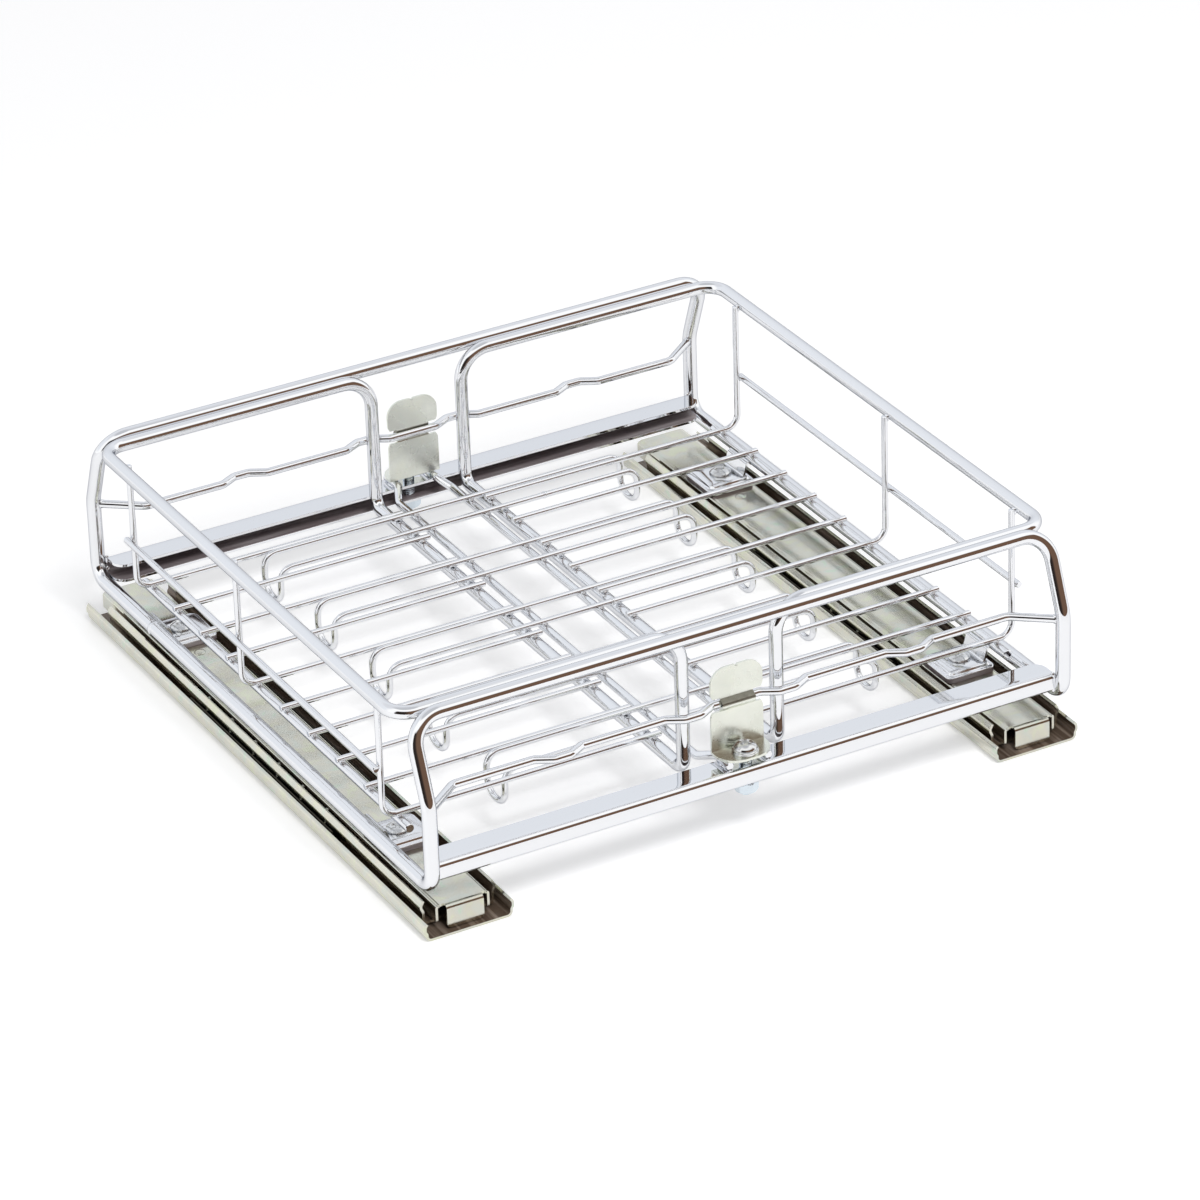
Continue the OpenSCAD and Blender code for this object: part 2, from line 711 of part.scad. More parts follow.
outer_rail(-slide_x);  // outer_rail_left
outer_rail(slide_x);  // outer_rail_right
middle_rail(-slide_x);  // middle_rail_left
middle_rail(slide_x);  // middle_rail_right
inner_rail(-slide_x);  // inner_rail_left
inner_rail(slide_x);  // inner_rail_right
outer_ball_cages();
outer_balls();
inner_ball_cages();
inner_balls();
hoop(-1);  // front_hoop
hoop(1);  // back_hoop
bar(-1);  // front_bar
bar(1);  // back_bar
bracket(-1, -1);  // front_left_bracket
bracket(1, -1);  // front_right_bracket
bracket(-1, 1);  // back_left_bracket
bracket(1, 1);  // back_right_bracket
bracket_screws();
wave_wire(-1);  // front_wave_wire
wave_wire(1);  // back_wave_wire
floor_runner(-1);  // floor_runner_left
floor_runner(1);  // floor_runner_right
clip(-1);  // front_clip
clip(1);  // back_clip
clip_bolts();
clip_washers();
clip_nuts();
rail_loop(-1);  // left_rail_loop
rail_loop(1);  // right_rail_loop
low_side_wire(-1);  // left_low_side_wire
low_side_wire(1);  // right_low_side_wire
mid_side_wire(-1);  // left_mid_side_wire
mid_side_wire(1);  // right_mid_side_wire
for (i = [1 : rings])
    floor_ring(i);
for (i = [1 : wires])
    floor_wire(-1, i);
for (i = [1 : wires])
    floor_wire(1, i);
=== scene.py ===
import bpy
import numpy as np
from mathutils import Matrix


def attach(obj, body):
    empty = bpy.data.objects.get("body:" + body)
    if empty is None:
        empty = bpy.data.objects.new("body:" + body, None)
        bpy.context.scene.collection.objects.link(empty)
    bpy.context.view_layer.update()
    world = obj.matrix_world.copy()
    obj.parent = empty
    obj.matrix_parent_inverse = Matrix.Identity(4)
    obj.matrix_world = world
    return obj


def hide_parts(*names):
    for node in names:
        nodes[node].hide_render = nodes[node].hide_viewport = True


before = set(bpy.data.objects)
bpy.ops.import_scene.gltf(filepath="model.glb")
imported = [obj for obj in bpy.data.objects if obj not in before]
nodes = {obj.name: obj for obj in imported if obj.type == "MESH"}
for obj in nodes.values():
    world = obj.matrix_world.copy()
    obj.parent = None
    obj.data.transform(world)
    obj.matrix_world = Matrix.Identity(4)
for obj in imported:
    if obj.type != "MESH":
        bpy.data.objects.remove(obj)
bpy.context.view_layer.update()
print("frame loaded,", len(nodes), "nodes")

mm = 0.001


def linear(hexColour):
    # sRGB hex to linear light, with full alpha
    c = np.array([int(hexColour[i:i + 2], 16) for i in (1, 3, 5)]) / 255
    c = np.where(c <= 0.04045, c / 12.92, ((c + 0.055) / 1.055) ** 2.4)
    return (*c.tolist(), 1.0)


def addNode(tree, kind, inputs=None, **settings):
    # One node with its settings, and its sockets either set or linked
    node = tree.nodes.new(kind)
    for name, value in settings.items():
        setattr(node, name, value)
    for socket, value in (inputs or {}).items():
        if isinstance(value, bpy.types.NodeSocket):
            tree.links.new(value, node.inputs[socket])
        else:
            node.inputs[socket].default_value = value
    return node


def unit(v):
    # v / |v| along the last axis
    v = np.asarray(v, float)
    return v / np.linalg.norm(v, axis=-1, keepdims=True)


def noise(tree, sizeMm, detail, along=None, longMm=0.0, **more):
    # Noise in object space with features of a real size, drawn out along an axis where
    # one is given
    place = addNode(tree, "ShaderNodeTexCoord").outputs["Object"]
    scale = 1000 / sizeMm
    if along is not None:
        stretch = [scale] * 3
        stretch[along] = 1000 / longMm
        place = addNode(tree, "ShaderNodeMapping", {"Vector": place, "Scale": stretch}).outputs[0]
        scale = 1.0
    return addNode(tree, "ShaderNodeTexNoise", {
        "Vector": place, "Scale": scale, "Detail": detail, **more}).outputs["Fac"]


def mapRange(tree, value, between, low, high, **settings):
    # low where the value is at the first of the two, high where it is at the second
    return addNode(tree, "ShaderNodeMapRange", {
        "Value": value, "From Min": between[0], "From Max": between[1], "To Min": low,
        "To Max": high}, **settings).outputs["Result"]


def mixColours(tree, factor, a, b):
    return addNode(tree, "ShaderNodeMix", {"Factor": factor, "A": a, "B": b},
                   data_type="RGBA").outputs["Result"]


def bumps(tree, height, strength, depthMm):
    # Normals bent by a height of real depth
    return addNode(tree, "ShaderNodeBump", {
        "Height": height, "Strength": strength, "Distance": depthMm * mm}).outputs["Normal"]


def newMaterial(name):
    material = bpy.data.materials.new(name)
    material.use_nodes = True
    material.node_tree.nodes.clear()
    return material, material.node_tree


def finishMaterial(tree, colour, rough, metallic=1.0, **more):
    # The surface's shader, straight to the output
    shader = addNode(tree, "ShaderNodeBsdfPrincipled", {
        "Base Color": colour, "Metallic": metallic, "Roughness": rough, **more})
    addNode(tree, "ShaderNodeOutputMaterial", {"Surface": shader.outputs[0]})


# A name that ends in Mm is a real size. A pair that ends in From is the two noise values
# between which a feature comes in
chromeLook = {"colour": "#F1F2F4", "grazing": "#B9BBC0", "roughness": 0.03, "rippleMm": 9.0,
              "rippleDepthMm": 0.004, "hazeMm": 4.0, "hazeFrom": (0.35, 0.75), "haze": 0.03}


def chromePlate(name, look):
    # Bright nickel-chrome plate on drawn steel: a clean mirror, darker where it is
    # seen at a flat angle, with the faint swell that the plating bath leaves, and
    # patches of slight haze
    material, tree = newMaterial(name)
    rough = mapRange(tree, noise(tree, look["hazeMm"], 3.0), look["hazeFrom"], look["roughness"],
                     look["roughness"] + look["haze"])
    swell = bumps(tree, noise(tree, look["rippleMm"], 1.0), 1.0, look["rippleDepthMm"])
    finishMaterial(tree, linear(look["colour"]), rough,
                   **{"Specular Tint": linear(look["grazing"]), "Normal": swell})
    return material


rodChrome = chromePlate("bright chrome plated drawn steel rod", chromeLook)
sheetChrome = chromePlate("bright chrome plated folded steel sheet",
                          dict(chromeLook, rippleMm=24.0, rippleDepthMm=0.006))
# The feet are stamped before they are plated, which leaves them a little softer
stampedChrome = chromePlate("bright chrome plated stamped steel",
                            dict(chromeLook, roughness=0.09, haze=0.05))

slideLook = {"colour": "#E3E5D8", "dark": "#C3C6B9", "roughness": 0.11, "lineMm": 0.5,
             "patchMm": 24.0, "filmMm": 8.0, "film": 0.24,
             "filmColours": ("#E3E3B0", "#DECBBC", "#B4DABE", "#CCD2D2")}
clipLook = {"colour": "#F2F3EA", "dark": "#DFE2D6", "roughness": 0.2, "lineMm": 0.6,
            "patchMm": 11.0, "filmMm": 8.0, "film": 0.12,
            "filmColours": ("#ECEDD0", "#E3E9DB", "#D7E2DC", "#E4E4DE")}
# The ribbed band of the clip's strap is painted darker and greyer than the clip: painted shade of its
# fine ribs
ribShadeLook = {"colour": "#A5A294", "dark": "#87857A", "roughness": 0.3, "lineMm": 0.3,
            "patchMm": 2.0, "filmMm": 3.0, "film": 0.05,
            "filmColours": ("#A5A294", "#9A988B", "#87857A", "#8F8D82")}
zincGrain = {"lineLongMm": 60.0, "lineStrength": 0.35, "lineDepthMm": 0.02,
             "cloudFrom": (0.3, 0.7), "cloudRoughness": 0.12, "filmTwist": 0.6,
             "filmStart": 0.34, "filmStep": 0.11}


def zincPlate(name, look, along):
    # Zinc plate with a clear passivate on rolled strip: a satin metal with fine
    # lines along the rolling, cloudy patches, and thin rainbow colours in them
    material, tree = newMaterial(name)
    grain = zincGrain
    lines = noise(tree, look["lineMm"], 2.0, along, grain["lineLongMm"])
    clouds = noise(tree, look["patchMm"], 4.0)
    film = noise(tree, look["filmMm"], 2.0, Distortion=grain["filmTwist"])
    rainbow = addNode(tree, "ShaderNodeValToRGB", {"Fac": film})
    stops = rainbow.color_ramp.elements
    for k, colour in enumerate(look["filmColours"]):
        stop = stops[k] if k < 2 else stops.new(0.5)
        stop.position = grain["filmStart"] + grain["filmStep"] * k
        stop.color = linear(colour)
    base = mixColours(tree, clouds, linear(look["colour"]), linear(look["dark"]))
    rough = mapRange(tree, clouds, grain["cloudFrom"], look["roughness"],
                     look["roughness"] + grain["cloudRoughness"])
    finishMaterial(tree, mixColours(tree, look["film"], base, rainbow.outputs["Color"]), rough,
                   Normal=bumps(tree, lines, grain["lineStrength"], grain["lineDepthMm"]))
    return material


slideZinc = zincPlate("clear zinc plated rolled steel strip", slideLook, 1)
clipZinc = zincPlate("satin zinc plated pressed steel", clipLook, 2)
ribShadeZinc = zincPlate("zinc plated steel strap with painted rib shade", ribShadeLook, 2)

boltLook = {"colour": "#DDE7EE", "roughness": 0.14, "spread": 0.12, "grainMm": 0.8}
headLook = {"colour": "#E2E3E3", "roughness": 0.12, "spread": 0.1, "grainMm": 1.2}
cageLook = {"colour": "#5A564F", "roughness": 0.4, "spread": 0.2, "grainMm": 1.5}
ballLook = {"colour": "#DDDDE0", "roughness": 0.05, "spread": 0.03, "grainMm": 2.0}


def plainSteel(name, look):
    # Small turned or pressed steel: one colour with a roughness that wanders a little
    material, tree = newMaterial(name)
    rough = mapRange(tree, noise(tree, look["grainMm"], 2.0), (0.0, 1.0), look["roughness"],
                     look["roughness"] + look["spread"])
    finishMaterial(tree, linear(look["colour"]), rough)
    return material


boltZinc = plainSteel("blue zinc plated machined steel", boltLook)
headZinc = plainSteel("clear zinc plated cold headed steel", headLook)
cageSteel = plainSteel("oiled steel strip", cageLook)
ballSteel = plainSteel("polished bearing steel", ballLook)

railShadeLook = {"colour": "#665649", "streak": "#A8988A", "metallic": 0.4, "roughness": 0.26,
              "streakNoiseMm": 3.0, "streakNoiseLongMm": 70.0, "streakFrom": (0.45, 0.7)}
channelShadeLook = {"colour": "#8A7E80", "streak": "#BDB6B8", "metallic": 0.3, "roughness": 0.3,
              "streakNoiseMm": 5.0, "streakNoiseLongMm": 70.0, "streakFrom": (0.45, 0.7)}


def shadeSteel(name, look, along):
    # Dark, soft steel that paints in shade: one colour under lighter streaks of painted sheen drawn
    # out along an axis
    material, tree = newMaterial(name)
    streakNoise = noise(tree, look["streakNoiseMm"], 3.0, along, look["streakNoiseLongMm"])
    streak = mapRange(tree, streakNoise, look["streakFrom"], 0.0, 1.0)
    finishMaterial(tree, mixColours(tree, streak, linear(look["colour"]), linear(look["streak"])),
                   look["roughness"], look["metallic"])
    return material


# The rails' inside skins are painted a dark brown: painted shade in the hollows of the channels and a
# painted dark reflection on the outer web's open end, under lighter streaks of painted sheen drawn out
# along the travel
railShadeZinc = shadeSteel("zinc plated rolled strip with painted shade", railShadeLook, 1)
# Inside the folded bars and on the walls of the feet the chrome is painted a dull dark brown: painted
# shade, under lighter streaks of painted sheen
channelShadeChrome = shadeSteel("chrome with painted shade inside a folded channel", channelShadeLook, 0)
print("materials ready")

bothEnds = ((True, "front"), (False, "back"))
bothSides = ((-1, "left"), (1, "right"))

# A sheet's rounded end stops just short of a point
almost = 0.999

# From here on a shape is a pair: its points in mm and its faces


def bentPath(corners, bends, degreesPerStep=7.0):
    # Straight runs joined by arcs: the arc at a corner starts bend * tan(turn / 2) before
    # it, at point start + bend * (inward * (1 - cos a) + ahead * sin a)
    corners = np.asarray(corners, float)
    runs = []
    for i, bend in enumerate(bends):
        here = corners[i]
        if bend == 0:
            runs.append(here[None])
            continue
        ahead = unit(here - corners[i - 1])
        after = unit(corners[(i + 1) % len(corners)] - here)
        turn = np.arccos(np.clip(ahead @ after, -1, 1))
        inward = unit(after - (ahead @ after) * ahead)
        a = np.linspace(0, turn, int(np.degrees(turn) / degreesPerStep) + 3)[:, None]
        start = here - ahead * bend * np.tan(turn / 2)
        runs.append(start + bend * (inward * (1 - np.cos(a)) + ahead * np.sin(a)))
    return np.concatenate(runs)


def gridFaces(rows, columns, wrapRows=False, wrapColumns=False):
    # Quads between neighbouring rows and columns of a grid of points
    i, j = np.meshgrid(np.arange(rows if wrapRows else rows - 1),
                       np.arange(columns if wrapColumns else columns - 1), indexing="ij")
    i2, j2 = (i + 1) % rows, (j + 1) % columns
    return np.stack([i * columns + j, i * columns + j2, i2 * columns + j2, i2 * columns + j],
                    -1).reshape(-1, 4)


def rodShape(path, diameter, closed=False, sides=20, away=(0.58, 0.58, 0.57), chamfer=0.3):
    # Circle carried along a path: path + r * (side * cos a + over * sin a), with side and
    # over square to the path, and away a direction that the path never takes. The ends of
    # an open rod are drawn in by the chamfer
    path = np.asarray(path, float)
    r = np.full(len(path), diameter / 2)
    if closed:
        step = unit(np.roll(path, -1, 0) - path)
        along = unit(step + np.roll(step, 1, 0))
    else:
        first, last = unit(path[1] - path[0]), unit(path[-1] - path[-2])
        path = np.vstack([path[:1], path[:1] + first * chamfer, path[1:-1],
                          path[-1:] - last * chamfer, path[-1:]])
        r = np.r_[r[0] - chamfer, r, r[0] - chamfer]
        step = unit(np.diff(path, axis=0))
        along = unit(np.vstack([step[:1], step[:-1] + step[1:], step[-1:]]))
    side = unit(np.cross(along, away))
    over = np.cross(along, side)
    a = np.linspace(0, 2 * np.pi, sides, endpoint=False)[None, :, None]
    points = path[:, None] + r[:, None, None] * (side[:, None] * np.cos(a) + over[:, None] * np.sin(a))
    rings = len(path)
    faces = gridFaces(rings, sides, wrapRows=closed, wrapColumns=True).tolist()
    if not closed:
        faces += [list(range(sides))[::-1], [(rings - 1) * sides + k for k in range(sides)]]
    return points.reshape(-1, 3), faces


def sheetShape(grid, thickness):
    # Sheet metal about a middle surface: grid + normal * thickness / 2 on either side,
    # with walls round its four edges
    rows, columns = grid.shape[:2]
    normal = unit(np.cross(np.gradient(grid, axis=0), np.gradient(grid, axis=1)))
    points = np.concatenate([(grid + normal * thickness / 2).reshape(-1, 3),
                             (grid - normal * thickness / 2).reshape(-1, 3)])
    under = rows * columns
    at = np.arange(under).reshape(rows, columns)
    top = np.stack([at[:-1, :-1], at[1:, :-1], at[1:, 1:], at[:-1, 1:]], -1).reshape(-1, 4)
    walls = [np.stack([a, b, b + under, a + under], -1) for a, b in (
        (at[0, :-1], at[0, 1:]), (at[-1, 1:], at[-1, :-1]), (at[1:, 0], at[:-1, 0]),
        (at[:-1, -1], at[1:, -1]))]
    return points, np.concatenate([top, top[:, ::-1] + under] + walls).tolist()


def skinFaces(shape, skin, extra=0):
    # 1 for each face of one skin of a sheet, 0 for the rest and for the extra faces
    points, faces = shape
    half = len(points) // 2
    one = [int(min(face) >= skin * half and max(face) < (skin + 1) * half) for face in faces]
    return np.array(one + [0] * extra)


def ringsShape(rings):
    # Closed skin over a stack of closed rings of points, capped flat at both ends;
    # the rings turn anticlockwise seen from the last one
    count, sides = rings.shape[:2]
    faces = gridFaces(count, sides, wrapColumns=True).tolist()
    faces += [list(range(sides))[::-1], [(count - 1) * sides + k for k in range(sides)]]
    return rings.reshape(-1, 3), faces


def beadShape(centre, reach, sides=12, rings=7):
    # Weld nugget: an ellipsoid whose waist is fuller than a ball's,
    # radius = sqrt(cos^1.5 b) at latitude b
    b = np.linspace(-80, 80, rings) * np.pi / 180
    a = np.linspace(0, 2 * np.pi, sides, endpoint=False)
    waist = np.cos(b)[:, None] ** 0.75
    points = np.stack([waist * np.cos(a), waist * np.sin(a), np.repeat(np.sin(b)[:, None], sides, 1)],
                      -1) * reach + centre
    return ringsShape(points)


def turnedShape(profile, sides, x, y, swell=None):
    # Profile of (radius, height) turned about a vertical axis; swell may shape each point
    profile = np.asarray(profile, float)
    a = np.linspace(0, 2 * np.pi, sides, endpoint=False)[None]
    r = np.repeat(profile[:, :1], sides, 1)
    z = np.repeat(profile[:, 1:], sides, 1)
    if swell:
        r, z = swell(r, z, a)
    return ringsShape(np.stack([x + r * np.cos(a), y + r * np.sin(a), z], -1))


def joined(shapes):
    # Several shapes as one: their faces count on from the points before them
    points, faces, base = [], [], 0
    for p, f in shapes:
        points.append(p)
        faces += [[k + base for k in face] for face in f]
        base += len(p)
    return np.concatenate(points), faces


def whichShape(shapes, second):
    # 0 for each face of a plain shape and 1 for each face of the shapes named second
    return np.concatenate([np.full(len(f), int(k in second)) for k, (p, f) in enumerate(shapes)])


def flipped(shape, axis):
    # Mirror image, with its faces turned back outwards
    points, faces = shape
    points = points.copy()
    points[:, axis] *= -1
    return points, [face[::-1] for face in faces]


def newMesh(name, shape):
    # A shape's mesh, in metres
    points, faces = shape
    mesh = bpy.data.meshes.new(name)
    mesh.from_pydata((np.asarray(points) * mm).tolist(), [], faces)
    return mesh


def putIn(name, data):
    # A new object in the scene
    thing = bpy.data.objects.new(name, data)
    bpy.context.scene.collection.objects.link(thing)
    return thing


def makePiece(name, shape, body, material, stands, edge=0.0, sharpDegrees=38,
              bevelDegrees=50, second=None, secondFaces=None):
    # Puts a shape into the scene in metres, riding its body in place of its CAD nodes
    mesh = newMesh(name, shape)
    mesh.update()
    mesh.polygons.foreach_set("use_smooth", np.ones(len(mesh.polygons), bool))
    mesh.set_sharp_from_angle(angle=np.radians(sharpDegrees))
    mesh.materials.append(material)
    if second:
        mesh.materials.append(second)
        mesh.polygons.foreach_set("material_index", secondFaces.astype(np.int32))
    piece = putIn(name, mesh)
    if edge:
        bevel = piece.modifiers.new("brokenEdges", "BEVEL")
        bevel.width = edge * mm
        bevel.segments = 2
        bevel.limit_method = "ANGLE"
        bevel.angle_limit = np.radians(bevelDegrees)
        bevel.harden_normals = True
    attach(piece, body)
    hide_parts(*stands)
    return piece


hoopSpec = {"legX": 164.0, "legY": 172.0, "topY": 157.5, "rodMm": 7.0, "topZ": 103.0,
            "kinkZ": 65.5, "sideZ": 24.0, "jointY": 110.0, "footBend": 9.0, "kinkBend": 20.0,
            "cornerBend": 14.0, "sides": 28, "endChamfer": 0.05, "jointBead": 0.35,
            "jointSink": 0.02, "jointHalf": 1.2}


def hoopShape(front):
    # From one side's butt joint along to the leg, up, over the top and the same way back.
    # The front hoop carries the butt welds' low rings, whose radius is r + bead * cos b
    s, h = (-1 if front else 1), hoopSpec
    half = [[h["legX"], h["jointY"], h["sideZ"]], [h["legX"], s * h["legY"], h["sideZ"]],
            [h["legX"], s * h["legY"], h["kinkZ"]], [h["legX"], s * h["topY"], h["topZ"]]]
    other = [[-x, y, z] for x, y, z in half[::-1]]
    bends = [0, h["footBend"], h["kinkBend"], h["cornerBend"]]
    shapes = [rodShape(bentPath(half + other, bends + bends[::-1]), h["rodMm"], sides=h["sides"],
                       chamfer=h["endChamfer"])]
    if front:
        b = np.linspace(-np.pi / 2, np.pi / 2, 7)[:, None]
        r = h["rodMm"] / 2 - h["jointSink"] + h["jointBead"] * np.cos(b)
        a = np.linspace(0, 2 * np.pi, h["sides"], endpoint=False)
        y = np.linspace(h["jointY"] + h["jointHalf"], h["jointY"] - h["jointHalf"], 7)[:, None]
        shapes += [ringsShape(np.stack([x + r * np.cos(a), y + 0 * a, h["sideZ"] + r * np.sin(a)], -1))
                   for x in (-h["legX"], h["legX"])]
    return joined(shapes)


for front, name in bothEnds:
    makePiece(f"{name}_hoop_rod", hoopShape(front), "carriage", rodChrome,
              [f"{name}_hoop"])

waveSpec = {"rodMm": 4.0, "z": 63.5, "y": 156.0, "startX": 144.0, "stops": (24.5, 91.0),
            "footX": 12.0, "flatX": 4.0, "bulge": 4.5, "bend": 4.0, "endBend": 6.0, "tipIn": 0.3,
            "endChamfer": 0.1, "weldMm": (1.9, 1.9, 2.4)}


def waveShape(front):
    # Wire across the hoop, stepped outwards at each place where a post comes to rest
    s, w, h = (-1 if front else 1), waveSpec, hoopSpec
    near, far = w["stops"]
    bumpCorners = [[x + dx, s * (w["y"] + dy), w["z"]] for x in (-far, -near, near, far)
                   for dx, dy in ((-w["footX"], 0), (-w["flatX"], w["bulge"]),
                                  (w["flatX"], w["bulge"]), (w["footX"], 0))]
    start = np.array([w["startX"], s * w["y"], w["z"]])
    leg = np.array([h["legX"], s * h["legY"], w["z"]])
    outward = unit(leg - start)
    tip = leg - (h["rodMm"] / 2 - w["tipIn"]) * outward
    mirror = np.array([-1, 1, 1])
    corners = [tip * mirror, start * mirror] + bumpCorners + [start, tip]
    bends = [0, w["endBend"]] + [w["bend"]] * len(bumpCorners) + [w["endBend"], 0]
    welds = [beadShape((leg - h["rodMm"] / 2 * outward) * m, w["weldMm"])
             for m in (np.ones(3), mirror)]
    return joined([rodShape(bentPath(corners, bends), w["rodMm"], chamfer=w["endChamfer"])] + welds)


for front, name in bothEnds:
    makePiece(f"{name}_wave_rod", waveShape(front), "carriage", rodChrome,
              [f"{name}_wave_wire"])

runnerSpec = {"rodMm": 4.0, "endX": 10.0, "x": 15.0, "endY": 167.5, "upY": 155.0, "lowY": 145.0,
              "endZ": 37.0, "z": 33.4, "bend": 6.0, "weldY": 161.5, "weldDrop": 1.9,
              "weldMm": (1.8, 3.4, 0.7)}


def runnerShape(s):
    # Rod under the rings that steps up and in over each bar, with a weld to the bar
    r = runnerSpec
    half = [[s * r["endX"], -r["endY"], r["endZ"]], [s * r["endX"], -r["upY"], r["endZ"]],
            [s * r["x"], -r["lowY"], r["z"]]]
    corners = half + [[x, -y, z] for x, y, z in half[::-1]]
    welds = [beadShape([s * r["endX"], y, r["endZ"] - r["weldDrop"]], r["weldMm"])
             for y in (-r["weldY"], r["weldY"])]
    return joined([rodShape(bentPath(corners, [0] + [r["bend"]] * 4 + [0]), r["rodMm"])] + welds)


for s, name in bothSides:
    makePiece(f"{name}_runner_rod", runnerShape(s), "carriage", rodChrome,
              [f"floor_runner_{name}"])

ringSpec = {"wireMm": 3.0, "half": 97.5, "topZ": 36.8, "dip": 18.9, "width": 17.3, "bend": 6.5,
            "dipBend": 8.05, "firstY": 126.45, "step": 56.2, "away": (0.55, 0.62, 0.56),
            "buttX": (46.0, -33.0, 21.0, -52.0, 38.0), "collarMm": (1.7, 1.75, 1.75),
            "weldMm": (1.5, 1.5, 0.8)}


def ringShape(i, buttX):
    # Long loop with dipped ends, its butt weld's collar, and its welds to the runners
    r = ringSpec
    y = r["firstY"] - i * r["step"]
    low = r["topZ"] - r["dip"]
    end = [[r["half"], y, r["topZ"]], [r["half"], y, low], [r["half"], y - r["width"], low],
           [r["half"], y - r["width"], r["topZ"]]]
    corners = end + [[-x, yy, z] for x, yy, z in end[::-1]]
    bends = [r["bend"], r["dipBend"], r["dipBend"], r["bend"]]
    shapes = [rodShape(bentPath(corners, bends * 2), r["wireMm"], closed=True, away=r["away"])]
    shapes += [beadShape([x, side, r["topZ"] - r["wireMm"] / 2], r["weldMm"])
               for side in (y, y - r["width"]) for x in (-runnerSpec["x"], runnerSpec["x"])]
    shapes.append(beadShape([buttX, y - r["width"], r["topZ"]], r["collarMm"]))
    return joined(shapes)


for i, buttX in enumerate(ringSpec["buttX"]):
    makePiece(f"ring_{i + 1}_wire", ringShape(i, buttX), "carriage", rodChrome,
              [f"floor_ring_{i + 1}"])
print("frame rods ready")

halfSpec = {"railMm": 6.4, "railX": 167.4, "railZ": 102.0, "postX": 24.5, "postY": 150.5,
            "barZ": 31.8, "footBend": 6.5, "topBend": 15.0, "cornerBend": 11.0, "railSides": 28,
            "wireMm": 3.0, "floorZ": 36.4, "innerX": 20.8, "uprightX": 162.8, "uprightBend": 7.0,
            "lowX": 154.5, "lowZ": 32.8, "lowMm": 4.4, "lowOver": 10.0, "stub": 3.0,
            "midX": 165.8, "midZ": 62.4, "midMm": 3.2, "midOver": 2.0, "firstY": 126.45,
            "pitch": 28.1, "shift": 3.4, "count": 10, "railWeldOut": 1.4, "railWeldDrop": 1.2,
            "railWeldMm": (1.3, 1.5, 2.0), "lowWeldMm": (1.5, 1.5, 0.8),
            "postWeldMm": (1.7, 1.6, 0.8), "midWeldIn": 1.5, "midWeldMm": (0.8, 1.5, 1.5)}


def wireY(s, i):
    # Place of floor wire i, with the two halves staggered
    return halfSpec["firstY"] - s * halfSpec["shift"] - (i - 1) * halfSpec["pitch"]


def halfPieces(s, name):
    # The rail loop, the floor wires with their three uprights, and the two side wires
    h = halfSpec
    body = f"{name}_half"
    uprights = (1, h["count"], h["count"] // 2 + (1 if s > 0 else 0))
    back = [[s * h["postX"], h["postY"], h["barZ"]], [s * h["postX"], h["postY"], h["railZ"]],
            [s * h["railX"], h["postY"], h["railZ"]]]
    bends = [h["footBend"], h["topBend"], h["cornerBend"]]
    loop = rodShape(bentPath(back + [[x, -y, z] for x, y, z in back[::-1]], bends + bends[::-1]),
                    h["railMm"], closed=True, sides=h["railSides"])
    beads = [beadShape([s * (h["uprightX"] + h["railWeldOut"]), wireY(s, i),
                        h["railZ"] - h["railWeldDrop"]], h["railWeldMm"]) for i in uprights]
    makePiece(f"{name}_rail_rod", joined([loop] + beads), body, rodChrome,
              [f"{name}_rail_loop"])
    for i in range(1, h["count"] + 1):
        y = wireY(s, i)
        if i in uprights:
            corners = [[s * h["innerX"], y, h["floorZ"]], [s * h["uprightX"], y, h["floorZ"]],
                       [s * h["uprightX"], y, h["railZ"]]]
            path = bentPath(corners, [0, h["uprightBend"], 0])
        else:
            path = [[s * h["innerX"], y, h["floorZ"]], [s * (h["lowX"] + h["stub"]), y, h["floorZ"]]]
        under = h["floorZ"] - h["wireMm"] / 2
        shapes = [rodShape(path, h["wireMm"]),
                  beadShape([s * h["lowX"], y, under], h["lowWeldMm"]),
                  beadShape([s * h["postX"], y, under], h["postWeldMm"])]
        makePiece(f"{name}_wire_{i}", joined(shapes), body, rodChrome,
                  [f"{name}_floor_wire_{i}"])
    for part, welded in (("low", ()), ("mid", uprights)):
        x, z, over = s * h[part + "X"], h[part + "Z"], h[part + "Over"]
        path = [[x, wireY(s, h["count"]) - over, z], [x, wireY(s, 1) + over, z]]
        welds = [beadShape([x - s * h["midWeldIn"], wireY(s, i), z], h["midWeldMm"]) for i in welded]
        makePiece(f"{name}_{part}_rod", joined([rodShape(path, h[part + "Mm"])] + welds), body,
                  rodChrome, [f"{name}_{part}_side_wire"])


for s, name in bothSides:
    halfPieces(s, name)
print("basket halves ready")

barSpec = {"halfX": 160.94, "outY": 170.5, "depth": 14.0, "topZ": 35.0, "height": 9.5,
           "sheetMm": 1.5, "bend": 2.0, "endR": 6.5, "endSteps": 18, "middleSteps": 30,
           "flatSteps": 6, "weldIn": 0.6, "weldY": 169.2, "weldZ": (33.2, 27.4),
           "weldMm": (1.2, 1.2, 2.6)}


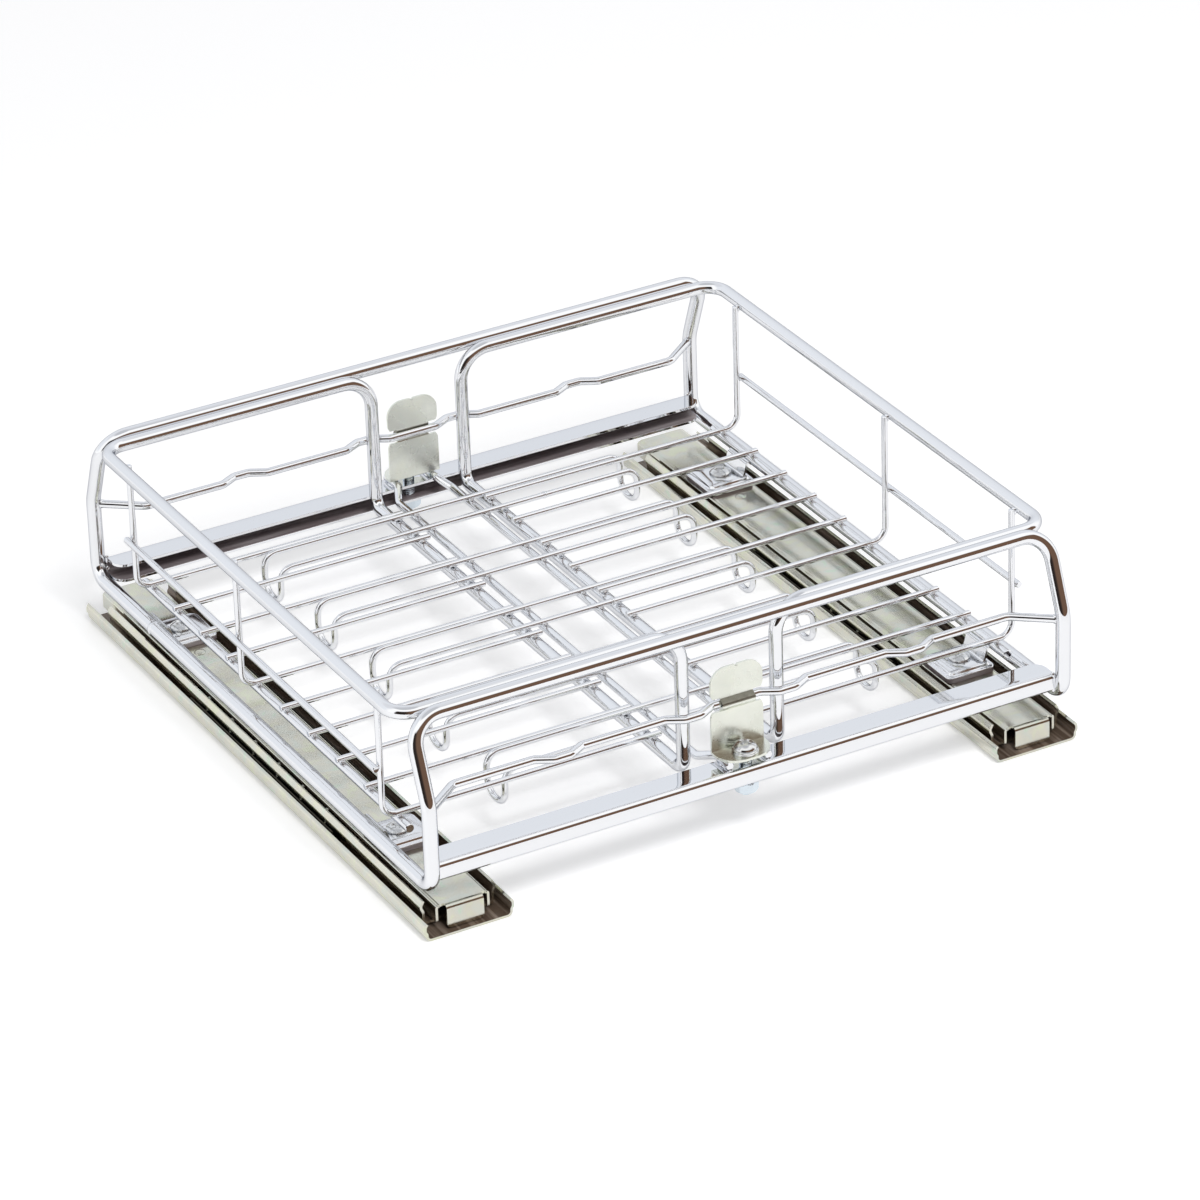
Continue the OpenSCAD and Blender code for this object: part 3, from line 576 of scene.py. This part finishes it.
def barShape(front):
    # Channel section carried along X; near the ends the flanges' depth falls away
    # as r - sqrt(r^2 - d^2), which rounds their corners
    b = barSpec
    t = b["sheetMm"] / 2
    low = b["topZ"] - b["height"] + t
    outer = b["outY"] - t
    straight = b["halfX"] - b["endR"]
    x = np.concatenate([np.linspace(-b["halfX"], -straight, b["endSteps"])[:-1],
                        np.linspace(-straight, straight, b["middleSteps"]),
                        np.linspace(straight, b["halfX"], b["endSteps"])[1:]])
    d = np.clip(np.abs(x) - straight, 0, b["endR"])
    lost = b["endR"] - np.sqrt(np.maximum(b["endR"] ** 2 - d ** 2, 0))
    flat = np.linspace(0, 1, b["flatSteps"])[:-1]
    inY = b["outY"] - b["depth"]
    web = bentPath([[0, inY, b["topZ"] - t], [0, outer, b["topZ"] - t], [0, outer, low],
                    [0, inY, low]], [0, b["bend"], b["bend"], 0], degreesPerStep=12)[1:-1]
    flange = (inY + lost)[:, None] * (1 - flat) + web[0, 1] * flat
    y = np.concatenate([flange, np.repeat(web[None, :, 1], len(x), 0), flange[:, ::-1]], 1)
    z = np.r_[flat * 0 + web[0, 2], web[:, 2], flat * 0 + web[-1, 2]]
    grid = np.stack([np.repeat(x[:, None], y.shape[1], 1), y,
                     np.repeat(z[None], len(x), 0)], -1)
    shape = sheetShape(grid[:, ::-1], b["sheetMm"])
    welds = [beadShape([sx * (b["halfX"] - b["weldIn"]), b["weldY"], z], b["weldMm"])
             for sx in (-1, 1) for z in b["weldZ"]]
    whole = joined([shape] + welds)
    # The channel's inner skin takes the dark chrome of painted shade
    inside = skinFaces(shape, 0, len(whole[1]) - len(shape[1]))
    return (flipped(whole, 1) if front else whole), inside


for front, name in bothEnds:
    shape, inside = barShape(front)
    makePiece(f"{name}_channel", shape, "carriage", sheetChrome, [f"{name}_bar"],
              edge=0.25, second=channelShadeChrome, secondFaces=inside)

footSpec = {"x0": 134.5, "x1": 160.52, "y": {-1: -107.2, 1: 115.5}, "long": 26.0, "z0": 13.2,
            "rimZ": 16.1, "z1": 17.5, "corner": 3.5, "tightest": 1.0, "edgeBend": 0.6, "rim": 1.4,
            "step": 1.2, "padIn": 8.0, "sheetMm": 1.2, "sides": 48, "flangeZ": 24.0,
            "flangeX": (152.5, 156.2, 158.3), "flangeBends": (0, 2.0, 1.2, 0), "flangeLong": 18.0,
            "weldIn": 0.2, "weldMm": (0.9, 8.0, 1.0)}


def footShape(sx, sy):
    # Pressed tray: rounded-rectangle rings that rise up the wall to a low rim, then over
    # an S step 0.5 - 0.5 cos to the raised pad, and a flange that climbs to the side rod
    f = footSpec
    a = np.linspace(0, 2 * np.pi, f["sides"], endpoint=False) + np.pi / f["sides"]
    halfX, halfY = (f["x1"] - f["x0"]) / 2, f["long"] / 2
    roll = np.linspace(0, np.pi / 2, 5)
    climb = np.linspace(0, np.pi, 7)
    inset = np.r_[0, f["edgeBend"] * (1 - np.cos(roll)), f["rim"] + f["step"] * climb / np.pi,
                  f["padIn"]]
    z = np.r_[f["z0"], f["rimZ"] - f["edgeBend"] * (1 - np.sin(roll)),
              f["rimZ"] + (f["z1"] - f["rimZ"]) * (0.5 - 0.5 * np.cos(climb)), f["z1"]]
    hx, hy = (halfX - inset)[:, None], (halfY - inset)[:, None]
    r = np.clip(f["corner"] - inset * 0.5, f["tightest"], None)[:, None]
    x = np.sign(np.cos(a)) * (hx - r) + r * np.cos(a)
    y = np.sign(np.sin(a)) * (hy - r) + r * np.sin(a)
    rings = np.stack([x + (f["x0"] + f["x1"]) / 2, y, np.repeat(z[:, None], f["sides"], 1)], -1)
    pad, (start, foot, head) = f["z1"] - f["sheetMm"] / 2, f["flangeX"]
    up = bentPath([[start, 0, pad], [foot, 0, pad], [head, 0, f["flangeZ"]],
                   [f["x1"], 0, f["flangeZ"]]], f["flangeBends"], degreesPerStep=12)
    grid = np.repeat(up[:, None], 9, 1)
    grid[..., 1] = np.linspace(-1, 1, 9) * f["flangeLong"] / 2
    flange = sheetShape(grid[:, ::-1], f["sheetMm"])
    weld = beadShape([f["x1"] - f["weldIn"], 0, f["flangeZ"]], f["weldMm"])
    points, faces = joined([ringsShape(rings), flange, weld])
    # The tray's walls below the rim take the dark chrome: painted shade for the dark gap under the
    # foot's edge
    shadedWalls = np.array([int(points[face, 2].max() < f["rimZ"] - f["edgeBend"] + 0.01)
                        for face in faces])
    shape = (points * [1, sy, 1] + [0, f["y"][sy], 0],
             faces if sy > 0 else [face[::-1] for face in faces])
    return (flipped(shape, 0) if sx < 0 else shape), shadedWalls


for sx, side in bothSides:
    for sy, end in ((-1, "front"), (1, "back")):
        shape, shadedWalls = footShape(sx, sy)
        makePiece(f"{end}_{side}_foot", shape, "carriage", stampedChrome,
                  [f"{end}_{side}_bracket"], edge=0.15, second=channelShadeChrome, secondFaces=shadedWalls)


# A pan head's numbers are shares of its height, radius or diameter, and mm where the name
# says so. The flange's steps are (past its edge, height), the root's (past the head's
# edge, height)
headSpec = {"rimH": 0.42, "domePower": 3.2, "innerR": 0.6, "centreMm": 0.02,
            "topR": (0.62, 0.66), "edgeMm": 0.25, "flangeStepsMm": (
                (-0.2, 0), (0, 0.25), (0, 0.6), (-0.25, 0.85)),
            "rootStepsMm": ((-0.3, 0.95), (0, 1.25)), "armHalf": 0.075, "armSoftMm": 0.22,
            "armLong": 0.25, "tipSoftMm": 0.5, "depth": 0.55, "floorLong": 0.3,
            "floorRise": 1.15, "leastDepth": 0.25, "topAbove": 0.4, "sides": 72}


def panHead(x, y, z, headMm, headH, turn, flangeMm=0):
    # Pan head: flat rim, domed top z = h * (1 - (1 - rimH) * (r / R)^domePower), less the
    # cross recess, whose depth falls off across and along its four arms
    h = headSpec
    big = headMm / 2
    inner, outer = h["topR"]
    r = np.r_[np.linspace(h["centreMm"], big * inner, 22), np.linspace(big * outer, big, 10)][::-1]
    dome = headH * (h["rimH"] + (1 - h["rimH"]) * (1 - (r / big) ** h["domePower"]))
    rim = [[big * h["innerR"], 0], [big - h["edgeMm"], 0], [big, h["edgeMm"]]]
    if flangeMm:
        rim = [rim[0]] + [[flangeMm / 2 + past, up] for past, up in h["flangeStepsMm"]]
        rim += [[big + past, up] for past, up in h["rootStepsMm"]]
    profile = np.r_[rim, np.stack([r[1:], dome[1:]], -1)]
    profile[:, 1] += z

    def recess(rr, zz, a):
        px, py = rr * np.cos(a - turn), rr * np.sin(a - turn)
        u, v = np.maximum(abs(px), abs(py)), np.minimum(abs(px), abs(py))
        arm = np.clip((headMm * h["armHalf"] - v) / h["armSoftMm"] + 0.5, 0, 1) * np.clip(
            (headMm * h["armLong"] - u) / h["tipSoftMm"] + 0.5, 0, 1)
        floor = np.clip(h["floorRise"] - u / (headMm * h["floorLong"]), h["leastDepth"], 1)
        return rr, zz - np.where(zz > z + headH * h["topAbove"], headH * h["depth"] * arm * floor, 0)

    return turnedShape(profile, h["sides"], x, y, recess)


threadSpec = {"tipMm": 0.3, "firstMm": 0.4, "stepsPerPitch": 7, "sides": 32}


def threadShape(x, y, z0, z1, diameter, pitch, depth):
    # Screw thread: r = R - depth * |2 frac(z / pitch - a / turn) - 1|
    t = threadSpec
    z = np.arange(z0 + t["firstMm"], z1, pitch / t["stepsPerPitch"])
    profile = np.r_[[[diameter / 2 - depth - t["tipMm"], z0]],
                    np.stack([np.full(len(z), diameter / 2), z], -1)]

    def cut(rr, zz, a):
        phase = (zz / pitch - a / (2 * np.pi)) % 1
        return rr - np.where(zz > z0 + t["tipMm"], depth * abs(2 * phase - 1), 0), zz

    return turnedShape(profile, t["sides"], x, y, cut)


screwSpec = {"x": 148.0, "z": 17.5, "headMm": 11.0, "headH": 2.6, "shankMm": 4.0, "endZ": 9.5,
             "pitch": 0.7, "threadMm": 0.3, "lap": 0.1, "turn": 0.35, "turnX": 0.5, "turnY": 0.3}
screws = []
for sx in (-1, 1):
    for sy in (-1, 1):
        s, x, y = screwSpec, sx * screwSpec["x"], footSpec["y"][sy]
        screws.append(panHead(x, y, s["z"], s["headMm"], s["headH"],
                              s["turn"] + s["turnX"] * sx + s["turnY"] * sy))
        screws.append(threadShape(x, y, s["endZ"], s["z"] + s["lap"], s["shankMm"], s["pitch"],
                                  s["threadMm"]))
makePiece("foot_screws", joined(screws), "carriage", headZinc, ["bracket_screws"])

# The strap's corners are given by their heights from the slot's lower and upper edges
clipSpec = {"wide": 27.0, "sheetMm": 1.2, "y": 156.6, "z": 39.0, "outY": 170.5, "bend": 0.65,
            "footR": 10.5, "wallZ": 44.0, "slotLow": 60.0, "slotHigh": 67.0, "topZ": 82.0,
            "topR": 8.0, "sideNotch": 1.0, "sideNotchH": 1.2, "notchR": 0.9, "notchDeep": 0.8,
            "notchTop": 0.6, "strapWide": 17.0, "jog": 2.75, "strapLow": (-0.4, 0.1, 2.6),
            "strapHigh": (-2.6, -0.9, 0.4), "strapBends": (0, 0.65, 1.2, 1.2, 0.65, 0),
            "strapThinner": 0.06, "ribMm": 0.85, "ribDepth": 0.14, "ribUp": 1.2, "ribReach": 1.6,
            "columns": 25, "strapColumns": 161}


def ribbon(path, half, columns, x=0.0):
    # A path of (y, z) widened along X: x + half * k for k from -1 to 1
    grid = np.repeat(np.asarray(path, float)[:, None, -2:], columns, 1)
    wide = np.reshape(half, (-1, 1)) * np.linspace(-1, 1, columns) + np.zeros((len(path), 1))
    return np.concatenate([x + wide[..., None], grid], -1)


def clipHalf(beyond, r, up):
    # Half width: less a rounded corner's r - sqrt(r^2 - d^2) and the nick at the slot's end
    c = clipSpec
    d = np.clip(beyond, 0, r * almost)
    return (c["wide"] / 2 - (r - np.sqrt(r ** 2 - d ** 2))
            - c["sideNotch"] * np.exp(-(up / c["sideNotchH"]) ** 2))


def clipShape(front):
    # Foot and lower plate as one bent sheet, the upper plate above the slot, and the
    # strap that is pressed out over the wave wire and torn into fine ribs
    c = clipSpec
    low, high, footZ = c["slotLow"], c["slotHigh"], c["z"] + c["sheetMm"] / 2
    path = bentPath([[0, c["outY"], footZ], [0, c["y"], footZ], [0, c["y"], low]],
                    [0, c["bend"], 0], degreesPerStep=12)
    foot = np.linspace(c["outY"], path[1, 1], 24)
    path = np.concatenate([np.stack([foot * 0, foot, foot * 0 + footZ], -1), path[2:-1],
                           [[0, c["y"], z] for z in np.linspace(c["wallZ"], low, 14)]])
    half = clipHalf(path[:, 1] - (c["outY"] - c["footR"]), c["footR"], path[:, 2] - low)
    lower = ribbon(path, half, c["columns"])
    bend = c["topZ"] - c["topR"]
    z = np.r_[np.linspace(high, bend, 8)[:-1],
              bend + c["topR"] * np.sin(np.linspace(0, np.pi / 2, 14)) * almost]
    upper = ribbon(np.stack([np.full(len(z), c["y"]), z], -1),
                   clipHalf(z - bend, c["topR"], z - high), c["columns"])
    dent = np.clip(1 - np.abs(upper[..., 0]) / c["notchR"], 0, 1)
    upper[..., 2] -= c["notchDeep"] * dent * (upper[..., 2] > c["topZ"] - c["notchTop"])
    mid = (low + high) / 2
    heights = [low + dz for dz in c["strapLow"]] + [high + dz for dz in c["strapHigh"]]
    strap = bentPath([[0, c["y"] + c["jog"] * out, z] for out, z in zip((0, 0, 1, 1, 0, 0), heights)],
                     c["strapBends"], degreesPerStep=9)
    band = ribbon(strap, c["strapWide"] / 2, c["strapColumns"])
    fade = np.exp(-((strap[:, 2:] - mid - c["ribUp"]) / c["ribReach"]) ** 4)
    band[..., 1] += c["ribDepth"] * np.sin(2 * np.pi * band[..., 0] / c["ribMm"]) * fade
    shapes = [sheetShape(grid[:, ::-1], c["sheetMm"] - thinner) for grid, thinner in (
        (lower, 0), (upper, 0), (band, c["strapThinner"]))]
    shape = joined(shapes)
    height = np.array([shape[0][face, 2].mean() for face in shape[1]])
    # Faces of the ribbed band, which take the darker zinc of painted rib shade
    torn = whichShape(shapes, (2,)) * (height > mid) * (height < high - c["strapHigh"][2])
    return (flipped(shape, 1) if front else shape), torn


boltSpec = {"y": 163.7, "z": 41.2, "headMm": 10.8, "headH": 4.0, "turn": 0.4, "threadMm": 6.0,
            "pitch": 1.0, "depth": 0.45, "lap": 0.1, "endZ": 18.5, "flangeMm": 11.8,
            "washerMm": 12.4, "washerBoreMm": 6.4, "washerH": 1.0, "washerSides": 48, "edge": 0.25,
            "nutZ": 20.5, "nutH": 5.0, "nutSides": 96, "nutFlats": 10.0,
            "nutLevels": (0, 0.25, 0.5, 0.8), "nutCone": 1.3}


def washerShape(y):
    # Flat ring with its outer edges broken
    b = boltSpec
    low, high, edge = b["z"] - b["washerH"], b["z"], b["edge"]
    r, bore = b["washerMm"] / 2, b["washerBoreMm"] / 2
    return turnedShape([[bore, low], [r - edge, low], [r, low + edge], [r, high - edge],
                        [r - edge, high], [bore, high]], b["washerSides"], 0, y)


def nutShape(y):
    # Hexagon with its corners cut by a cone above and below:
    # r = min(flats / 2 / cos(a'), cone)
    b = boltSpec
    flat, levels = b["nutFlats"] / 2, np.array(b["nutLevels"])
    levels = np.r_[levels, b["nutH"] - levels[::-1]]
    cone = flat + np.minimum(levels, b["nutH"] - levels) * b["nutCone"]

    def hexagon(rr, zz, a):
        side = flat / np.cos((a + np.pi / 6) % (np.pi / 3) - np.pi / 6)
        return np.minimum(np.repeat(side, len(levels), 0), cone[:, None]), zz

    profile = np.stack([levels * 0 + flat, b["nutZ"] + levels], -1)
    return turnedShape(profile, b["nutSides"], 0, y, hexagon)


for front, name in bothEnds:
    shape, torn = clipShape(front)
    makePiece(f"{name}_clip_plate", shape, "carriage", clipZinc, [f"{name}_clip"],
              second=ribShadeZinc, secondFaces=torn)
b = boltSpec
places = (-b["y"], b["y"])
bolts = [shape for y in places for shape in (
    panHead(0, y, b["z"], b["headMm"], b["headH"], b["turn"], b["flangeMm"]),
    threadShape(0, y, b["endZ"], b["z"] + b["lap"], b["threadMm"], b["pitch"], b["depth"]))]
makePiece("clip_bolt_rods", joined(bolts), "carriage", headZinc, ["clip_bolts"],
          second=boltZinc, secondFaces=whichShape(bolts, (1, 3)))
makePiece("clip_washer_rings", joined([washerShape(y) for y in places]), "carriage",
          headZinc, ["clip_washers"])
makePiece("clip_nut_blocks", joined([nutShape(y) for y in places]), "carriage",
          boltZinc, ["clip_nuts"], sharpDegrees=25)
print("bars, feet and clips ready")

# Each rail's section is bent at its corners, (past the wall's middle line, height), from
# the right wall's edge to the web
railSpec = {
    "outer": {"half": 22.5, "y": (-174.5, 175.5), "bends": (0, 3.0, 1.0, 1.0, 2.2, 0), "corners": (
        (-1.15, 8.77), (0, 7.8), (0, 5.0), (-0.8, 3.8), (-0.8, 0.6), (-6.0, 0.6))},
    "middle": {"half": 18.0, "y": (-164.0, 158.0), "bends": (0, 1.2, 1.0, 1.6, 1.5, 0), "corners": (
        (-0.3, 14.2), (0.9, 12.0), (0.9, 10.8), (0, 8.8), (0, 3.0), (-6.0, 3.0))},
    "inner": {"half": 13.5, "y": (-168.4, 175.5), "bends": (0, 0.9, 0.3, 0.4, 0), "corners": (
        (0, 4.9), (0, 12.15), (-1.1, 12.15), (-1.8, 12.6), (-7.9, 12.6))}}
slideSpec = {"x": 148.0, "sheetMm": 1.2, "rows": 40, "sides": 32, "topZ": 13.2,
             "outerHoles": (-150.0, 150.0), "outerHoleMm": 4.5, "middleHole": 15.0,
             "middleHoleMm": 9.0, "drillZ": (-5.0, 25.0), "tabY": -170.0, "tabBend": 1.8,
             "tabR": 2.0, "tabWide": 18.5, "tabZ": 1.6, "tabColumns": 15, "domeY": 95.7, "domeMm": 5.6,
             "domeH": 0.9, "domeSink": 0.5, "domeFull": 0.97}


def railSheet(rail, x):
    # The section carried along Y, with its right half mirrored to the left
    r = railSpec[rail]
    wall = r["half"] - slideSpec["sheetMm"] / 2
    right = bentPath([[wall + past, 0, z] for past, z in r["corners"]], r["bends"],
                     degreesPerStep=14)
    section = np.concatenate([right, right[::-1] * [-1, 1, 1]])
    grid = np.repeat(section[:, None] + [x, 0, 0], slideSpec["rows"], 1)
    grid[..., 1] = np.linspace(*r["y"], slideSpec["rows"])
    return sheetShape(grid[:, ::-1], slideSpec["sheetMm"])


def tabShape(x):
    # The inner rail's front end bent down, its lower corners rounded by r - sqrt(r^2 - d^2)
    c, t = slideSpec, slideSpec["sheetMm"] / 2
    top, face, r = c["topZ"] - t, c["tabY"] - t, c["tabR"]
    path = bentPath([[0, railSpec["inner"]["y"][0], top], [0, face, top], [0, face, c["tabZ"]]],
                    [0, c["tabBend"], 0], degreesPerStep=12)
    low = np.linspace(top - c["tabBend"], c["tabZ"], 10)[1:]
    path = np.concatenate([path[:-1], np.stack([low * 0, low * 0 + face, low], -1)])
    drop = np.clip(c["tabZ"] + r - path[:, 2], 0, r * almost) * (path[:, 1] < c["tabY"] + 0.01)
    half = c["tabWide"] / 2 - (r - np.sqrt(r ** 2 - drop ** 2))
    return sheetShape(ribbon(path, half, c["tabColumns"], x), c["sheetMm"])


def domeShape(x):
    # The small pressed dome in front of the back foot: (r cos b, h sin b) at latitude b
    c = slideSpec
    b = np.linspace(0, np.pi / 2 * c["domeFull"], 9)
    r = c["domeMm"] / 2
    return turnedShape(np.r_[[[r, c["topZ"] - c["domeSink"]]],
                             np.stack([r * np.cos(b), c["topZ"] + c["domeH"] * np.sin(b)], -1)],
                       c["sides"], x, c["domeY"])


def drill(piece, holes):
    # Cuts upright round holes of (x, y, diameter) in mm through a finished piece
    cutters = [putIn("drill", newMesh("drill", rodShape(
        [[x, y, z] for z in slideSpec["drillZ"]], hole, sides=slideSpec["sides"])))
        for x, y, hole in holes]
    for cutter in cutters:
        cut = piece.modifiers.new("hole", "BOOLEAN")
        cut.object = cutter
        cut.solver = "EXACT"
    whole = piece.evaluated_get(bpy.context.evaluated_depsgraph_get())
    piece.data = bpy.data.meshes.new_from_object(whole)
    piece.modifiers.clear()
    for cutter in cutters:
        bpy.data.objects.remove(cutter)


def railPieces(s, name):
    # One slide: outer and middle rail, drilled, and inner rail with its tab and dome
    c = slideSpec
    x = s * c["x"]
    for rail, body, holes in (
            ("outer", "cabinet_rails", [(x, y, c["outerHoleMm"]) for y in c["outerHoles"]]),
            ("middle", f"middle_{name}", [(x, c["middleHole"], c["middleHoleMm"])])):
        shape = railSheet(rail, x)
        # Each rail's inside skin takes the dark brown zinc of painted shade
        piece = makePiece(f"{name}_{rail}_strip", shape, body, slideZinc,
                          [f"{rail}_rail_{name}"], second=railShadeZinc,
                          secondFaces=skinFaces(shape, 0))
        drill(piece, holes)
    inner = railSheet("inner", x)
    whole = joined([inner, tabShape(x), domeShape(x)])
    makePiece(f"{name}_inner_strip", whole, "carriage", slideZinc,
              [f"inner_rail_{name}"], edge=0.15, second=railShadeZinc,
              secondFaces=skinFaces(inner, 1, len(whole[1]) - len(inner[1])))


for s, name in bothSides:
    railPieces(s, name)
for name, material in (("outer_ball_cages", cageSteel), ("inner_ball_cages", cageSteel),
                       ("outer_balls", ballSteel), ("inner_balls", ballSteel)):
    nodes[name].data.materials.clear()
    nodes[name].data.materials.append(material)
print("slides ready")

# A pair that ends in From is the two values of a unit direction's X, Y or Z between which
# that part of the room comes in
studio = {"floorMm": 6000, "frontEdgeMm": 750, "floorDropMm": 0.1, "floorColour": "#E9E9EA",
          "floorRoughness": 0.45, "floorGlow": 0.33, "mirrorGlow": 0.24, "worldLight": 0.52,
          "mirrorWhite": 1.12, "wall": "#E6E9EE", "wallTop": "#D9DBE0", "ceiling": "#BFC1C6",
          "roomLeft": "#2B2523", "roomRight": "#6B5344", "backFromY": (-0.05, 0.40),
          "wallFromZ": (-0.02, 0.25), "wallTopFromZ": (0.60, 0.78), "ceilingFromZ": (0.88, 0.96),
          "rightFromX": (-0.60, -0.10), "roomFromZ": (-0.40, -0.30), "roomTopFromZ": (0.57, 0.67),
          "roomEndFromY": (-0.42, -0.30), "keyLight": 33.0, "keySizeMm": 900,
          "keyAtMm": (-150, -1300, 2150)}
white = (1, 1, 1, 1)


def mathNode(tree, operation, *values):
    return addNode(tree, "ShaderNodeMath", dict(enumerate(values)), operation=operation).outputs[0]


def rays(tree):
    # Whether a ray comes straight from the camera, and whether a mirror or glass sent it on
    path = addNode(tree, "ShaderNodeLightPath").outputs
    return path["Is Camera Ray"], mathNode(tree, "MAXIMUM", path["Is Glossy Ray"],
                                           path["Is Transmission Ray"])


def floorPiece():
    # Plain white card that ends in front of the basket; what the camera and the mirrors
    # see of it glows a little
    half, near = studio["floorMm"] / 2, -studio["frontEdgeMm"]
    mesh = newMesh("floor", ([(-half, near, 0), (half, near, 0), (half, half, 0), (-half, half, 0)],
                             [(0, 1, 2, 3)]))
    floor = putIn("floor", mesh)
    floor.location.z = -studio["floorDropMm"] * mm
    material, tree = newMaterial("matt white paper card")
    camera, mirrored = rays(tree)
    glow = mathNode(tree, "MULTIPLY_ADD", camera, studio["floorGlow"],
                    mathNode(tree, "MULTIPLY", mirrored, studio["mirrorGlow"]))
    finishMaterial(tree, linear(studio["floorColour"]), studio["floorRoughness"], 0.0,
                   **{"Emission Color": white, "Emission Strength": glow})
    mesh.materials.append(material)


def studioWorld():
    # White all round. Mirrors also see the dark room behind the camera, from the
    # floor's edge up to a bright band, darkest at its left, and a cooler back wall
    # that greys towards the ceiling
    world = bpy.data.worlds.new("studio")
    bpy.context.scene.world = world
    world.use_nodes = True
    tree = world.node_tree
    tree.nodes.clear()
    way = addNode(tree, "ShaderNodeSeparateXYZ",
                  {0: addNode(tree, "ShaderNodeTexCoord").outputs["Generated"]}).outputs

    def ramp(axis, between, low=0.0, high=1.0):
        return mapRange(tree, way[axis], studio[between], low, high,
                        interpolation_type="SMOOTHSTEP")

    def times(a, b):
        return mathNode(tree, "MULTIPLY", a, b)

    back = ramp("Y", "backFromY")
    seen = mixColours(tree, times(ramp("Z", "wallFromZ"), back), white, linear(studio["wall"]))
    seen = mixColours(tree, times(ramp("Z", "wallTopFromZ"), back), seen,
                      linear(studio["wallTop"]))
    seen = mixColours(tree, ramp("Z", "ceilingFromZ"), seen, linear(studio["ceiling"]))
    room = mixColours(tree, ramp("X", "rightFromX"), linear(studio["roomLeft"]),
                      linear(studio["roomRight"]))
    dark = times(times(ramp("Z", "roomFromZ"), ramp("Z", "roomTopFromZ", 1.0, 0.0)),
                 ramp("Y", "roomEndFromY", 1.0, 0.0))
    mirrors, light, view = [
        addNode(tree, "ShaderNodeBackground", {"Color": colour, "Strength": strength}).outputs[0]
        for colour, strength in ((mixColours(tree, dark, seen, room), studio["mirrorWhite"]),
                                 (white, studio["worldLight"]), (white, 1.0))]
    camera, mirrored = rays(tree)
    mix = addNode(tree, "ShaderNodeMixShader", {0: mirrored, 1: light, 2: mirrors})
    mix = addNode(tree, "ShaderNodeMixShader", {0: camera, 1: mix.outputs[0], 2: view})
    addNode(tree, "ShaderNodeOutputWorld", {"Surface": mix.outputs[0]})


def place(thing, spot, axes):
    # Stands a lamp or camera at a point with its right, up and back directions
    turn = Matrix(np.stack(axes, 1).tolist()).to_4x4()
    thing.matrix_world = Matrix.Translation(spot.tolist()) @ turn


def keyLamp():
    # One large soft lamp in front and above, which mirrors don't see
    lamp = bpy.data.lights.new("key", "AREA")
    lamp.shape = "DISK"
    lamp.size = studio["keySizeMm"] * mm
    lamp.energy = studio["keyLight"]
    holder = putIn("key", lamp)
    spot = np.array(studio["keyAtMm"]) * mm
    back = unit(spot)
    right = unit(np.cross([0, 1, 0], back))
    place(holder, spot, [right, np.cross(back, right), back])
    holder.visible_glossy = False


# awayMm is the origin as the camera sees it: to the right, down and ahead
cameraSpec = {"azimuth": 28.16, "elevation": 28.48, "roll": -2.0, "focalPx": 6460.0,
              "framePx": 1200.0, "sensorMm": 36, "clipMm": (50, 50000),
              "awayMm": (-13.07, 37.09, 3050.21)}


def photoCamera():
    # The camera was solved from the slides and rods in the photograph: a far camera
    # with a long lens, looking along the azimuth and down by the elevation
    c = cameraSpec
    az, el, roll = np.radians([c["azimuth"], c["elevation"], c["roll"]])
    ahead = np.array([np.sin(az) * np.cos(el), np.cos(az) * np.cos(el), -np.sin(el)])
    level = np.array([np.cos(az), -np.sin(az), 0])
    rise = np.cross(level, ahead)
    right = np.cos(roll) * level + np.sin(roll) * rise
    up = np.cos(roll) * rise - np.sin(roll) * level
    lens = bpy.data.cameras.new("photo")
    lens.sensor_width = c["sensorMm"]
    lens.lens = c["sensorMm"] * c["focalPx"] / c["framePx"]
    lens.clip_start, lens.clip_end = [clip * mm for clip in c["clipMm"]]
    camera = putIn("photo", lens)
    place(camera, -np.array([right, -up, ahead]).T @ np.array(c["awayMm"]) * mm,
          [right, up, -ahead])
    bpy.context.scene.camera = camera


floorPiece()
studioWorld()
keyLamp()
photoCamera()
bpy.context.scene.view_settings.view_transform = "Standard"
print("studio ready")
